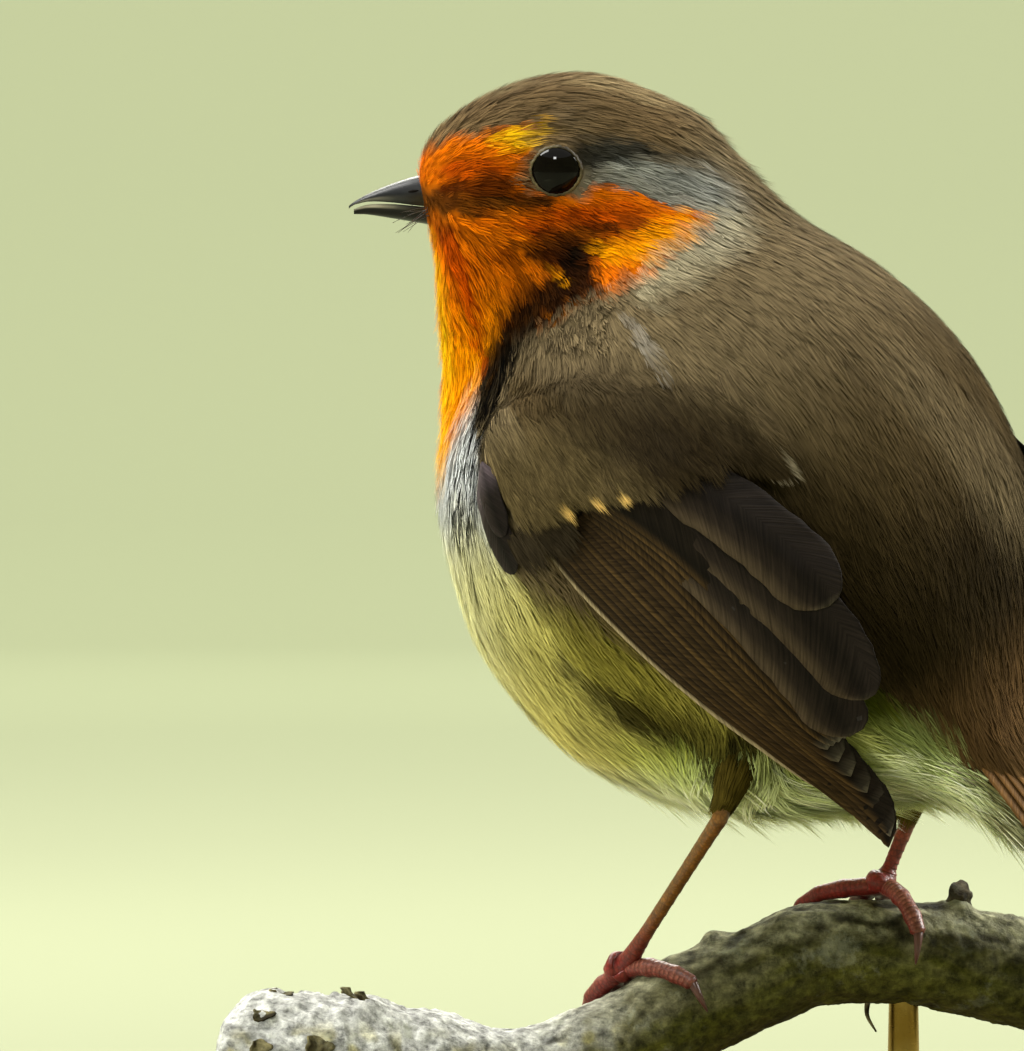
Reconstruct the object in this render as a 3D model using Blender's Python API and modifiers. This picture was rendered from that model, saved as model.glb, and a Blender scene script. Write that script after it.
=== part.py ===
"""A European robin at life size, perched on a cut branch that a small display stand holds up.

Metres, +Z up. The bird faces -X, its left side is -Y. The origin is the centre of the base's underside.
Tables are in millimetres, so every length is multiplied by MM once, where a point is made.
"""

import math

import bmesh
import bpy
from mathutils import Vector
from mathutils.bvhtree import BVHTree

MM = 0.001
GAP = 0.35  # clearance between neighbouring solids
UP = Vector((0, 0, 1))

# Heights in the tables below are counted from the middle of the trunk.
TRUNK_HEIGHT = 96.0
NECK_PIVOT = Vector((-10.0, 0.0, TRUNK_HEIGHT))
HEAD_TURN = 30.0  # degrees to the bird's left

# Body sections from the bill's base to the tips of the tail coverts. Each row is the dorsal point and
# the ventral point (distance behind the neck pivot, height), the half width, and the turn of its plane.
BODY_SECTIONS = (
    (-24.6, 34.3, -23.5, 28.7, 3.0, HEAD_TURN),
    (-23.5, 37.6, -22.8, 27.1, 5.3, HEAD_TURN),
    (-21.2, 40.0, -22.4, 24.3, 7.4, HEAD_TURN),
    (-17.4, 42.5, -22.2, 21.3, 9.2, HEAD_TURN),
    (-12.0, 44.7, -22.1, 18.2, 10.8, 28.0),
    (-5.4, 45.3, -22.1, 15.3, 11.8, 25.0),
    (1.1, 43.7, -22.2, 12.3, 12.2, 21.0),
    (7.3, 40.6, -22.4, 9.3, 12.4, 16.0),
    (12.1, 34.8, -22.3, 6.0, 14.5, 11.0),
    (18.1, 29.7, -22.4, 2.0, 19.0, 6.0),
    (25.9, 25.4, -22.1, -2.8, 23.0, 2.0),
    (33.4, 19.7, -20.7, -7.9, 26.0, 0.0),
    (38.9, 13.4, -18.7, -12.7, 27.5, 0.0),
    (43.0, 6.0, -16.1, -19.0, 27.8, 0.0),
    (45.7, -0.3, -11.3, -25.2, 27.0, 0.0),
    (47.3, -7.5, -4.3, -31.2, 25.0, 0.0),
    (47.9, -13.5, 6.5, -35.0, 21.0, 0.0),
    (47.6, -18.8, 21.0, -36.0, 16.0, 0.0),
    (47.9, -24.1, 37.5, -33.6, 10.5, 0.0),
    (51.7, -31.0, 45.0, -37.2, 6.6, 0.0),
    (56.5, -37.6, 52.0, -41.8, 4.2, 0.0),
    (60.0, -42.5, 57.5, -44.7, 2.4, 0.0),
)
BODY_ROUNDNESS = 2.15  # exponent of the sections: 2 is an ellipse
SIDES = 24
RINGS_PER_SECTION = 2
PARTING_STEPS = 4  # points across the flat where a back piece lies on a belly piece

# Where the body is parted, counted in rows of BODY_SECTIONS: each piece, its rows, and the half it keeps.
BODY_PIECES = (
    ("head", 0.0, 6.5, "whole"),
    ("nape", 6.5, 9.0, "dorsal"),
    ("throat", 6.5, 9.0, "ventral"),
    ("mantle", 9.0, 14.0, "dorsal"),
    ("breast", 9.0, 12.0, "ventral"),
    ("belly", 12.0, 16.5, "ventral"),
    ("rump", 14.0, 21.0, "dorsal"),
    ("vent", 16.5, 21.0, "ventral"),
)

# The bill in the head's own frame: distance behind the neck pivot, then heights and half width.
UPPER_BILL = ((-20.5, 34.2, 30.5, 2.7), (-24.0, 33.8, 30.75, 2.25), (-27.0, 32.9, 31.0, 1.7),
              (-29.6, 31.8, 31.0, 1.05), (-31.2, 30.9, 30.55, 0.5), (-31.75, 30.45, 30.15, 0.26))
LOWER_BILL = ((-20.5, 30.15, 28.0, 2.5), (-24.0, 30.4, 28.6, 2.05), (-27.0, 30.65, 29.1, 1.5),
              (-29.6, 30.6, 29.5, 0.9), (-31.2, 30.1, 29.55, 0.4))
BILL_SIDES = 12

EYE = {"behind": -9.2, "height": 34.2, "radius": 3.5, "sunk": 2.5}

# Folded wings, laid out flat beside the body. Along is from the wrist to the tip, across is towards the back.
WRIST = (-15.0, 4.0)
WING_LENGTH = 60.5
WING_DROOP = {"left": 46.0, "right": 31.0}  # degrees below the horizontal
WRIST_SPREAD = 21.0
WING_TIP_SPREAD = {"left": 11.0, "right": 9.5}
WING_PATCHES = {
    "primaries": {
        "along": (14.0, 60.5),
        "lower": ((14.0, -5.6), (24.0, -3.2), (38.0, -0.6), (53.0, 0.0), (60.5, 0.4)),
        "upper": ((14.0, 5.0), (24.0, 8.6), (36.0, 10.4), (46.0, 11.2), (51.0, 9.2), (57.0, 5.2), (60.5, 1.7)),
        "thick": (2.2, 1.1),
    },
    "tertials": {
        "along": (14.0, 49.5),
        "lower": ((14.0, 5.5), (24.0, 9.1), (36.0, 10.9), (46.0, 11.7), (49.5, 11.8)),
        "upper": ((14.0, 19.0), (24.0, 21.6), (33.0, 21.2), (41.0, 18.8), (46.0, 16.0), (49.5, 13.4)),
        "thick": (2.6, 1.3),
    },
    "coverts": {
        "along": (-3.0, 13.6),
        "lower": ((-3.0, 1.0), (2.0, -4.8), (7.0, -7.6), (13.6, -5.8)),
        "upper": ((-3.0, 4.5), (2.0, 14.0), (9.0, 18.2), (13.6, 19.0)),
        "thick": (3.0, 2.4),
    },
}
WING_GRID = (10, 6)

TAIL_ROOT = (24.9, -16.5)
TAIL_PITCH = 47.3
TAIL_LENGTH = 58.0
TAIL_FEATHERS = 12
TAIL_HALF_WIDTH = (5.0, 8.6, 11.0)
TAIL_THICKNESS = (2.2, 1.1)
TAIL_ARCH = 1.6
TAIL_NOTCH = 1.8

# The perch's centre line in the upright plane that it grows in: across, height, depth, radius.
PERCH_HEADING = 30.0
PERCH_POINTS = (
    (40.8, -55.9, 3.6, 5.8), (33.0, -53.4, 2.6, 5.9), (23.2, -51.1, 1.6, 5.8), (16.0, -50.7, 1.3, 5.75),
    (9.6, -51.2, 1.3, 5.7), (4.3, -53.4, 1.3, 5.6), (-2.2, -56.2, 1.3, 5.8), (-8.7, -60.3, 1.2, 6.0),
    (-14.1, -63.0, 0.8, 6.2), (-20.1, -65.0, 0.0, 6.4), (-26.1, -65.3, -1.0, 6.8), (-32.6, -64.6, -1.6, 7.6),
    (-40.2, -64.4, -1.4, 8.8), (-46.7, -64.5, -0.8, 9.2), (-51.4, -65.0, -0.2, 8.3),
)
PERCH_SIDES = 14
PERCH_RINGS_PER_POINT = 2
PERCH_END_ROUNDING = 3.4

# Where each foot holds the perch, and where each leg leaves the feathers.
FEET = {
    "left": {"across": -6.5, "ankle": (9.5, -16.1, -33.9), "thigh_top": (14.5, -15.5, -20.0)},
    "right": {"across": 17.7, "ankle": (17.2, 11.6, -35.2), "thigh_top": (19.6, 12.6, -23.0)},
}
THIGH_RADII = (4.6, 1.45)
TARSUS_RADIUS = 0.95
HEEL_LENGTH = 1.4
PALM_RADIUS = 2.1
PALM_HALF_HEIGHT = 1.15
TOE_RADII = (0.62, 0.8)
TOE_SIDES = 7
TOE_STEPS = 7
CLAW_SIDES = 6
CLAW_STEPS = 5
# Each toe on the left foot and on the right one: how far it runs along the perch and how many degrees round it.
# Lead above 1 sends it along the perch first and round it later. Claw is the angle that the claw spans.
TOES = {
    "hind": {"along": (5.4, 3.2), "round": (-70.0, -70.0), "lead": 1.1, "claw": -36.0},
    "outer": {"along": (-6.4, -8.2), "round": (66.0, 54.0), "lead": 1.5, "claw": 26.0},
    "middle": {"along": (-4.4, -4.8), "round": (104.0, 100.0), "lead": 1.15, "claw": 30.0},
    "inner": {"along": (0.9, 1.0), "round": (88.0, 86.0), "lead": 1.0, "claw": 27.0},
}
TOE_LIFTS = (1.3, 1.1)  # height of a toe's middle above the bark, at the foot and at the claw
CLAW_RADII = (0.48, 0.26)
CLAW_ARCH = 0.35

BASE_RADIUS = 56.0
BASE_HEIGHT = 8.0
BASE_BEVEL = 1.4
ROD_RADIUS = 1.6
ROD_PLACES = {"stand_rod_front": -26.0, "stand_rod_back": 20.0}

MATERIALS = {
    "face_feathers": ((0.62, 0.19, 0.03), 0.85, 0.0),
    "brown_feathers": ((0.10, 0.075, 0.045), 0.85, 0.0),
    "breast_feathers": ((0.75, 0.26, 0.03), 0.85, 0.0),
    "pale_feathers": ((0.55, 0.54, 0.42), 0.9, 0.0),
    "flight_feathers": ((0.055, 0.04, 0.028), 0.6, 0.0),
    "bill_horn": ((0.02, 0.018, 0.018), 0.35, 0.0),
    "eye_gloss": ((0.004, 0.003, 0.003), 0.08, 0.0),
    "leg_scales": ((0.30, 0.10, 0.06), 0.5, 0.0),
    "claw_horn": ((0.10, 0.05, 0.04), 0.4, 0.0),
    "bark": ((0.18, 0.17, 0.12), 0.9, 0.0),
    "stand_wood": ((0.05, 0.03, 0.02), 0.4, 0.0),
    "stand_brass": ((0.45, 0.30, 0.12), 0.3, 1.0),
}


def clear_scene():
    for leftover in list(bpy.data.objects):
        bpy.data.objects.remove(leftover, do_unlink=True)


def material(name):
    found = bpy.data.materials.get(name)
    if found:
        return found
    colour, roughness, metallic = MATERIALS[name]
    made = bpy.data.materials.new(name)
    made.use_nodes = True
    shader = made.node_tree.nodes["Principled BSDF"]
    shader.inputs["Base Color"].default_value = (*colour, 1.0)
    shader.inputs["Roughness"].default_value = roughness
    shader.inputs["Metallic"].default_value = metallic
    return made


def add_mesh(name, points, faces, finish, collection):
    mesh = bpy.data.meshes.new(name)
    mesh.from_pydata([Vector(p) * MM for p in points], [], faces)
    shape = bmesh.new()
    shape.from_mesh(mesh)
    bmesh.ops.recalc_face_normals(shape, faces=shape.faces)
    shape.to_mesh(mesh)
    shape.free()
    made = bpy.data.objects.new(name, mesh)
    collection.objects.link(made)
    mesh.materials.append(material(finish))
    mesh.shade_smooth()
    mesh.set_sharp_from_angle(angle=math.radians(40))
    return made


def between(rows, place):
    """The row at a fractional place in a table, on a smooth curve through all its rows."""
    last = len(rows) - 1
    index = min(int(place), last - 1)
    t = place - index
    p0, p1 = rows[max(index - 1, 0)], rows[index]
    p2, p3 = rows[index + 1], rows[min(index + 2, last)]
    return [
        0.5 * (2 * b + (c - a) * t + (2 * a - 5 * b + 4 * c - d) * t * t + (3 * b - a - 3 * c + d) * t ** 3)
        for a, b, c, d in zip(p0, p1, p2, p3)
    ]


def height_at(profile, x):
    """Straight-line reading of a profile's second column at x."""
    for (x0, y0), (x1, y1) in zip(profile, profile[1:]):
        if x <= x1:
            return y0 + (y1 - y0) * max(0.0, (x - x0) / (x1 - x0))
    return profile[-1][1]


def mix(a, b, share):
    return a + (b - a) * share


def smooth_step(share):
    share = min(1.0, max(0.0, share))
    return share * share * (3 - 2 * share)


def loft(rings):
    """Points and faces of a closed skin over rings that all have the same number of points."""
    count = len(rings[0])
    points = [p for ring in rings for p in ring]
    faces = [tuple(reversed(range(count)))]
    for r in range(len(rings) - 1):
        here, there = r * count, (r + 1) * count
        faces += [
            (here + k, here + (k + 1) % count, there + (k + 1) % count, there + k) for k in range(count)
        ]
    faces.append(tuple(range(len(points) - count, len(points))))
    return points, faces


def tube_rings(centres, radii, sides, flat=1.0):
    """Round rings across a path, carried along it without twisting. Flat squeezes them upright."""
    rings = []
    across = None
    for i, centre in enumerate(centres):
        ahead = (centres[min(i + 1, len(centres) - 1)] - centres[max(i - 1, 0)]).normalized()
        if across is None:
            across = ahead.orthogonal().normalized()
        across = (across - ahead * across.dot(ahead)).normalized()
        other = ahead.cross(across)
        turn = 2 * math.pi / sides
        rings.append([
            centre + across * radii[i] * math.cos(k * turn) + other * radii[i] * flat * math.sin(k * turn)
            for k in range(sides)
        ])
    return rings


def cut(target, cutter):
    """Takes cutter's shape out of target, and applies it."""
    modifier = target.modifiers.new("cut", "BOOLEAN")
    modifier.object = cutter
    modifier.operation = "DIFFERENCE"
    graph = bpy.context.evaluated_depsgraph_get()
    shaped = bpy.data.meshes.new_from_object(target.evaluated_get(graph))
    target.modifiers.clear()
    target.data = shaped


# --- body -----------------------------------------------------------------------------------------


def section_frame(place):
    """Centre, spoke to the back, spoke to the left, of the body's section at a fractional row."""
    dorsal_q, dorsal_z, ventral_q, ventral_z, half_width, turn = between(BODY_SECTIONS, place)
    turn = math.radians(turn)
    heading = Vector((math.cos(turn), math.sin(turn), 0))
    side = Vector((-math.sin(turn), math.cos(turn), 0))
    dorsal = NECK_PIVOT + heading * dorsal_q + UP * dorsal_z
    ventral = NECK_PIVOT + heading * ventral_q + UP * ventral_z
    return (dorsal + ventral) / 2, (dorsal - ventral) / 2, side * half_width


def section(place, half="whole", grow=0.0):
    centre, spoke, side = section_frame(place)
    spoke = spoke * (spoke.length + grow) / spoke.length
    side = side * (side.length + grow) / side.length
    power = 2 / BODY_ROUNDNESS

    def rim(angle):
        c, s = math.cos(angle), math.sin(angle)
        return (centre + spoke * math.copysign(abs(c) ** power, c)
                + side * math.copysign(abs(s) ** power, s))

    if half == "whole":
        return [rim(2 * math.pi * k / SIDES) for k in range(SIDES)]
    start = -math.pi / 2 if half == "dorsal" else math.pi / 2
    shift = spoke.normalized() * (GAP / 2 if half == "dorsal" else -GAP / 2)
    ring = [rim(start + math.pi * k / (SIDES // 2)) + shift for k in range(SIDES // 2 + 1)]
    return ring + [ring[-1].lerp(ring[0], k / PARTING_STEPS) for k in range(1, PARTING_STEPS)]


def section_normal(place):
    centre, spoke, side = section_frame(place)
    return side.cross(spoke).normalized()


def body_rings(first, last, half="whole", grow=0.0):
    steps = max(1, round((last - first) * RINGS_PER_SECTION))
    return [section(mix(first, last, i / steps), half, grow) for i in range(steps + 1)]


def body_piece(name, first, last, half, finish, collection):
    rings = body_rings(first, last, half)
    if first > 0:  # stand clear of the piece in front
        away = section_normal(first)
        if away.dot(section_frame(first + 0.5)[0] - section_frame(first)[0]) < 0:
            away = -away
        rings[0] = [p + away * GAP for p in rings[0]]
    points, faces = loft(rings)
    return add_mesh(name, points, faces, finish, collection)


def whole_body(name, grow, helpers):
    points, faces = loft(body_rings(0.0, len(BODY_SECTIONS) - 1, grow=grow))
    made = add_mesh(name, points, faces, "brown_feathers", helpers)
    made.hide_render = True
    made.display_type = "WIRE"
    return made


def surface_tree(obj):
    return BVHTree.FromPolygons(
        [v.co / MM for v in obj.data.vertices], [tuple(p.vertices) for p in obj.data.polygons]
    )


def build_body(collection):
    finishes = {"head": "face_feathers", "throat": "breast_feathers", "breast": "breast_feathers",
                "belly": "pale_feathers", "vent": "pale_feathers"}
    return {
        name: body_piece(name, first, last, half, finishes.get(name, "brown_feathers"), collection)
        for name, first, last, half in BODY_PIECES
    }


# --- head -----------------------------------------------------------------------------------------


def head_axes():
    turn = math.radians(HEAD_TURN)
    return Vector((math.cos(turn), math.sin(turn), 0)), Vector((-math.sin(turn), math.cos(turn), 0))


def mandible(name, rows, upper, finish, collection):
    """A ridged half: its round side faces up on the upper mandible and down on the lower one."""
    heading, side = head_axes()
    rings = []
    for behind, top, bottom, half_width in rows:
        ring = []
        for k in range(BILL_SIDES):
            angle = 2 * math.pi * k / BILL_SIDES
            c, s = math.cos(angle), math.sin(angle)
            ridge = max(0.0, c) ** 0.8 if upper else 1 - max(0.0, -c) ** 0.8
            if (c < 0) == upper:  # the flat side, where the mandibles meet
                ridge = 0.06 * abs(c) if upper else 1 - 0.06 * abs(c)
            height = mix(bottom, top, ridge)
            ring.append(NECK_PIVOT + heading * behind + side * half_width * s + UP * height)
        rings.append(ring)
    points, faces = loft(rings)
    return add_mesh(name, points, faces, finish, collection)


def ball(name, centre, radius, finish, collection):
    bpy.ops.mesh.primitive_uv_sphere_add(segments=16, ring_count=10, radius=radius * MM, location=centre * MM)
    made = bpy.context.object
    made.name = made.data.name = name
    for owner in list(made.users_collection):
        owner.objects.unlink(made)
    collection.objects.link(made)
    made.data.materials.append(material(finish))
    made.data.shade_smooth()
    return made


def build_eyes(head, tree, collection, helpers):
    heading, side = head_axes()
    middle = NECK_PIVOT + heading * EYE["behind"] + UP * EYE["height"]
    for name, way in (("left", -side), ("right", side)):
        skin = tree.ray_cast(middle + way * 60, -way)[0]
        centre = skin - way * EYE["sunk"]
        ball("eye_" + name, centre, EYE["radius"], "eye_gloss", collection)
        socket = ball("socket_" + name, centre, EYE["radius"] + GAP, "eye_gloss", helpers)
        socket.hide_render = True
        cut(head, socket)


def build_bill(grown_body, collection):
    for name, rows, upper in (("bill_upper", UPPER_BILL, True), ("bill_lower", LOWER_BILL, False)):
        half = mandible(name, rows, upper, "bill_horn", collection)
        cut(half, grown_body)


# --- wings and tail -------------------------------------------------------------------------------


def wing_point(side, along, across):
    """The flat wing's point in the upright plane beside the body, before it is laid on the flank."""
    droop = math.radians(WING_DROOP[side])
    x = WRIST[0] + along * math.cos(droop) + across * math.sin(droop)
    z = WRIST[1] - along * math.sin(droop) + across * math.cos(droop)
    return x, z + TRUNK_HEIGHT


def flank_distance(tree, side, along, across):
    """How far out from the middle plane the wing lies: on the flank, then on a blade that runs to its tip."""
    way = -1 if side == "left" else 1
    x, z = wing_point(side, along, across)
    hit = tree.ray_cast(Vector((x, way * 90, z)), Vector((0, -way, 0)))[0]
    flank = abs(hit.y) if hit and hit.y * way > 0 else 0.0
    share = smooth_step((along - 4) / (WING_LENGTH - 4))
    blade = mix(WRIST_SPREAD, WING_TIP_SPREAD[side], share) + 0.10 * (across - 6)
    blend = 2.5
    top = max(flank, blade)
    return top + blend * math.log(math.exp((flank - top) / blend) + math.exp((blade - top) / blend)) - 0.4


def wing_patch(side, patch, tree, grown_body, collection):
    shape = WING_PATCHES[patch]
    way = -1 if side == "left" else 1
    start, end = shape["along"]
    rows, columns = WING_GRID
    outer, inner = [], []
    for i in range(rows + 1):
        along = mix(start, end, i / rows)
        low, high = height_at(shape["lower"], along), height_at(shape["upper"], along)
        thick = mix(*shape["thick"], i / rows)
        for j in range(columns + 1):
            t = j / columns
            across = mix(low, high, t)
            x, z = wing_point(side, along, across)
            out = flank_distance(tree, side, along, across) + GAP
            swell = 0.45 + 0.55 * math.sin(math.pi * t) ** 0.6
            inner.append(Vector((x, way * out, z)))
            outer.append(Vector((x, way * (out + thick * swell), z)))
    wide = columns + 1
    lift = len(outer)
    faces = []
    for i in range(rows):
        for j in range(columns):
            a, b = i * wide + j, (i + 1) * wide + j
            faces.append((a, b, b + 1, a + 1))
            faces.append((lift + a, lift + a + 1, lift + b + 1, lift + b))
    edge = [j for j in range(wide)]
    edge += [(i + 1) * wide + columns for i in range(rows)]
    edge += [rows * wide + j for j in range(columns - 1, -1, -1)]
    edge += [i * wide for i in range(rows - 1, 0, -1)]
    for a, b in zip(edge, edge[1:] + edge[:1]):
        faces.append((a, b, lift + b, lift + a))
    finish = "brown_feathers" if patch == "coverts" else "flight_feathers"
    wing = add_mesh(f"wing_{side}_{patch}", outer + inner, faces, finish, collection)
    cut(wing, grown_body)


def build_tail(grown_body, collection):
    pitch = math.radians(TAIL_PITCH)
    ahead = Vector((math.cos(pitch), 0, -math.sin(pitch)))
    above = Vector((math.sin(pitch), 0, math.cos(pitch)))
    root = Vector((TAIL_ROOT[0], 0, TAIL_ROOT[1] + TRUNK_HEIGHT))
    rows, columns = 6, 2 * TAIL_FEATHERS
    top, bottom = [], []
    for i in range(rows + 1):
        share = i / rows
        half_width = between([(w,) for w in TAIL_HALF_WIDTH], 2 * share)[0]
        thick = mix(*TAIL_THICKNESS, share)
        for j in range(columns + 1):
            t = 2 * j / columns - 1
            feather_tip = 0.7 * (j % 2)
            along = TAIL_LENGTH * share + (feather_tip - TAIL_NOTCH * (1 - abs(t))) * share ** 4
            spine = root + ahead * along + above * TAIL_ARCH * (1 - t * t) + Vector((0, t * half_width, 0))
            top.append(spine + above * thick / 2)
            bottom.append(spine - above * thick / 2)
    wide, lift = columns + 1, len(top)
    faces = []
    for i in range(rows):
        for j in range(columns):
            a, b = i * wide + j, (i + 1) * wide + j
            faces.append((a, b, b + 1, a + 1))
            faces.append((lift + a, lift + a + 1, lift + b + 1, lift + b))
    edge = list(range(wide)) + [(i + 1) * wide + columns for i in range(rows)]
    edge += [rows * wide + j for j in range(columns - 1, -1, -1)] + [i * wide for i in range(rows - 1, 0, -1)]
    faces += [(a, b, lift + b, lift + a) for a, b in zip(edge, edge[1:] + edge[:1])]
    tail = add_mesh("tail", top + bottom, faces, "flight_feathers", collection)
    cut(tail, grown_body)


# --- perch and feet -------------------------------------------------------------------------------


def perch_axes():
    turn = math.radians(PERCH_HEADING)
    return Vector((math.cos(turn), math.sin(turn), 0)), Vector((-math.sin(turn), math.cos(turn), 0))


def perch_line():
    """Dense rows of the perch: centre, radius and the length run so far."""
    across_axis, depth_axis = perch_axes()
    count = (len(PERCH_POINTS) - 1) * PERCH_RINGS_PER_POINT
    rows, run = [], 0.0
    for i in range(count + 1):
        across, height, depth, radius = between(PERCH_POINTS, i / PERCH_RINGS_PER_POINT)
        centre = across_axis * across + depth_axis * depth + UP * (height + TRUNK_HEIGHT)
        run += (centre - rows[-1][0]).length if rows else 0.0
        rows.append((centre, radius, run))
    return rows


def perch_at(line, run):
    """Centre, radius, direction along, and the way up square to it, at a length along the perch."""
    for (c0, r0, l0), (c1, r1, l1) in zip(line, line[1:]):
        if run <= l1:
            break
    share = (run - l0) / (l1 - l0)
    along = (c1 - c0).normalized()
    up = (UP - along * UP.dot(along)).normalized()
    return c0.lerp(c1, share), mix(r0, r1, share), along, up


def run_at_across(line, across):
    """Length along the perch where its middle line passes a place across the front view."""
    marks = [(row[0].dot(perch_axes()[0]), row[2]) for row in line]
    return height_at(sorted(marks), across)


def on_perch(line, run, angle, lift):
    """A point lift above the bark. Angle 0 is on top and positive goes round the far side."""
    centre, radius, along, up = perch_at(line, run)
    far = along.cross(up)
    far = far if far.dot(perch_axes()[1]) > 0 else -far
    out = up * math.cos(angle) + far * math.sin(angle)
    return centre + out * (radius + lift)


def perch_rings(line, grow=0.0):
    centres = [row[0] for row in line]
    radii = [row[1] + grow for row in line]
    last = centres[-1] - centres[-2]
    for step, share in ((0.55, 0.86), (0.9, 0.6)):  # rounded burr at the thick end
        centres.append(centres[len(line) - 1] + last.normalized() * PERCH_END_ROUNDING * step)
        radii.append(radii[len(line) - 1] * share)
    return tube_rings(centres, radii, PERCH_SIDES)


def build_perch(line, collection):
    points, faces = loft(perch_rings(line))
    perch = add_mesh("perch_branch", points, faces, "bark", collection)
    return perch


def toe_point(line, foot_run, toe, which, share, lift):
    """A point of a toe's path round the perch, from under the ball of the foot to past the claw."""
    inside = min(share, 1.0)
    along = toe["along"][which] * (1 - (1 - inside) ** toe["lead"])
    around = toe["round"][which] * inside ** toe["lead"] + toe["claw"] * (share - inside)
    return on_perch(line, foot_run - along, math.radians(around), lift)


def build_foot(side, line, body_grown, collection):
    spec = FEET[side]
    which = 0 if side == "left" else 1
    foot_run = run_at_across(line, spec["across"])
    palm = on_perch(line, foot_run, 0.0, GAP + PALM_HALF_HEIGHT)
    down = (on_perch(line, foot_run, 0.0, 0.0) - palm).normalized()
    ankle = Vector(spec["ankle"]) + UP * TRUNK_HEIGHT
    build_thigh(side, spec, ankle, body_grown, collection)
    shin = (ankle - Vector(spec["thigh_top"]) - UP * TRUNK_HEIGHT).normalized()
    build_tarsus(side, ankle, shin, palm, down, collection)
    for name, toe in TOES.items():
        start = 0.0
        while (toe_point(line, foot_run, toe, which, start, TOE_LIFTS[0]) - palm).length < PALM_RADIUS + 2 * GAP:
            start += 0.005
        shares = [mix(start, 1.0, i / TOE_STEPS) for i in range(TOE_STEPS + 1)]
        toe_line = [toe_point(line, foot_run, toe, which, s, mix(*TOE_LIFTS, s)) for s in shares]
        radii = [mix(*TOE_RADII, abs(math.sin(3 * math.pi * s))) for s in shares]
        points, faces = loft(tube_rings(toe_line, radii, TOE_SIDES))
        add_mesh(f"toe_{side}_{name}", points, faces, "leg_scales", collection)
        clearance = (GAP + 0.12) / (7 * math.radians(abs(toe["claw"])))
        shares = [mix(clearance, 1.0, i / CLAW_STEPS) for i in range(CLAW_STEPS + 1)]
        claw_line = [
            toe_point(line, foot_run, toe, which, 1 + s,
                      mix(TOE_LIFTS[1], GAP + CLAW_RADII[1], s) + CLAW_ARCH * math.sin(math.pi * s))
            for s in shares
        ]
        points, faces = loft(tube_rings(claw_line, [mix(*CLAW_RADII, s) for s in shares], CLAW_SIDES))
        add_mesh(f"claw_{side}_{name}", points, faces, "claw_horn", collection)


def build_thigh(side, spec, ankle, body_grown, collection):
    top = Vector(spec["thigh_top"]) + UP * TRUNK_HEIGHT
    shares = [i / 6 for i in range(7)]
    centres = [top.lerp(ankle, s) for s in shares]
    radii = [mix(*THIGH_RADII, smooth_step(s)) for s in shares]
    points, faces = loft(tube_rings(centres, radii, 14))
    thigh = add_mesh("thigh_" + side, points, faces, "brown_feathers", collection)
    cut(thigh, body_grown)


def build_tarsus(side, ankle, shin, palm, down, collection):
    """The scaly shank: the heel joint bends out of the thigh, and the ball of the foot widens its lower end."""
    heel = ankle + shin * (GAP + HEEL_LENGTH)
    shank = (palm - heel).normalized()
    begin = heel + shank * HEEL_LENGTH
    end = palm - shank * PALM_HALF_HEIGHT
    centres = [ankle + shin * GAP, heel] + [begin.lerp(end, i / 6) for i in range(7)]
    radii = [TARSUS_RADIUS * wide for wide in (1.25, 1.3, 1.15, 1.0, 0.96, 0.96, 0.98, 1.05, 1.3)]
    centres += [palm - down * PALM_HALF_HEIGHT * 0.35, palm, palm + down * PALM_HALF_HEIGHT * 0.92]
    radii += [PALM_RADIUS * 0.86, PALM_RADIUS, PALM_RADIUS * 0.6]
    points, faces = loft(tube_rings(centres, radii, 12))
    made = add_mesh("tarsus_" + side, points, faces, "leg_scales", collection)


# --- stand ----------------------------------------------------------------------------------------


def build_stand(line, perch_grown, collection):
    bpy.ops.mesh.primitive_cylinder_add(
        vertices=48, radius=BASE_RADIUS * MM, depth=BASE_HEIGHT * MM, location=(0, 0, BASE_HEIGHT * MM / 2)
    )
    base = bpy.context.object
    base.name = base.data.name = "stand_base"
    bevel = base.modifiers.new("rounded rim", "BEVEL")
    bevel.width = BASE_BEVEL * MM
    bevel.segments = 2
    bevel.limit_method = "ANGLE"
    base.data.materials.append(material("stand_wood"))
    move_to(base, collection)
    for name, across in ROD_PLACES.items():
        centre = perch_at(line, run_at_across(line, across))[0]
        foot, head = BASE_HEIGHT + GAP, centre.z
        bpy.ops.mesh.primitive_cylinder_add(
            vertices=14, radius=ROD_RADIUS * MM, depth=(head - foot) * MM,
            location=(centre.x * MM, centre.y * MM, (head + foot) / 2 * MM),
        )
        rod = bpy.context.object
        rod.name = rod.data.name = name
        rod.data.materials.append(material("stand_brass"))
        move_to(rod, collection)
        bpy.context.view_layer.update()
        cut(rod, perch_grown)


def move_to(obj, collection):
    for owner in list(obj.users_collection):
        owner.objects.unlink(obj)
    collection.objects.link(obj)


def main():
    clear_scene()
    robin = bpy.data.collections.new("robin")
    helpers = bpy.data.collections.new("helpers")
    for collection in (robin, helpers):
        bpy.context.scene.collection.children.link(collection)

    outline = whole_body("body_outline", 0.0, helpers)
    grown = whole_body("body_clearance", GAP * 1.5, helpers)
    tree = surface_tree(outline)
    pieces = build_body(robin)
    build_eyes(pieces["head"], tree, robin, helpers)
    build_bill(grown, robin)
    for side in ("left", "right"):
        for patch in WING_PATCHES:
            wing_patch(side, patch, tree, grown, robin)
    build_tail(grown, robin)

    line = perch_line()
    build_perch(line, robin)
    points, faces = loft(perch_rings(line, grow=GAP))
    perch_grown = add_mesh("perch_clearance", points, faces, "bark", helpers)
    for side in ("left", "right"):
        build_foot(side, line, grown, robin)
    build_stand(line, perch_grown, robin)
    for helper in helpers.objects:
        helper.hide_render = True
        helper.display_type = "WIRE"


main()
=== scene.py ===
# A European robin at life size, gripping a cut branch over a small display base.
# The feathers are thin solid tufts and vanes laid over one skin.

import itertools
import math

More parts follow.
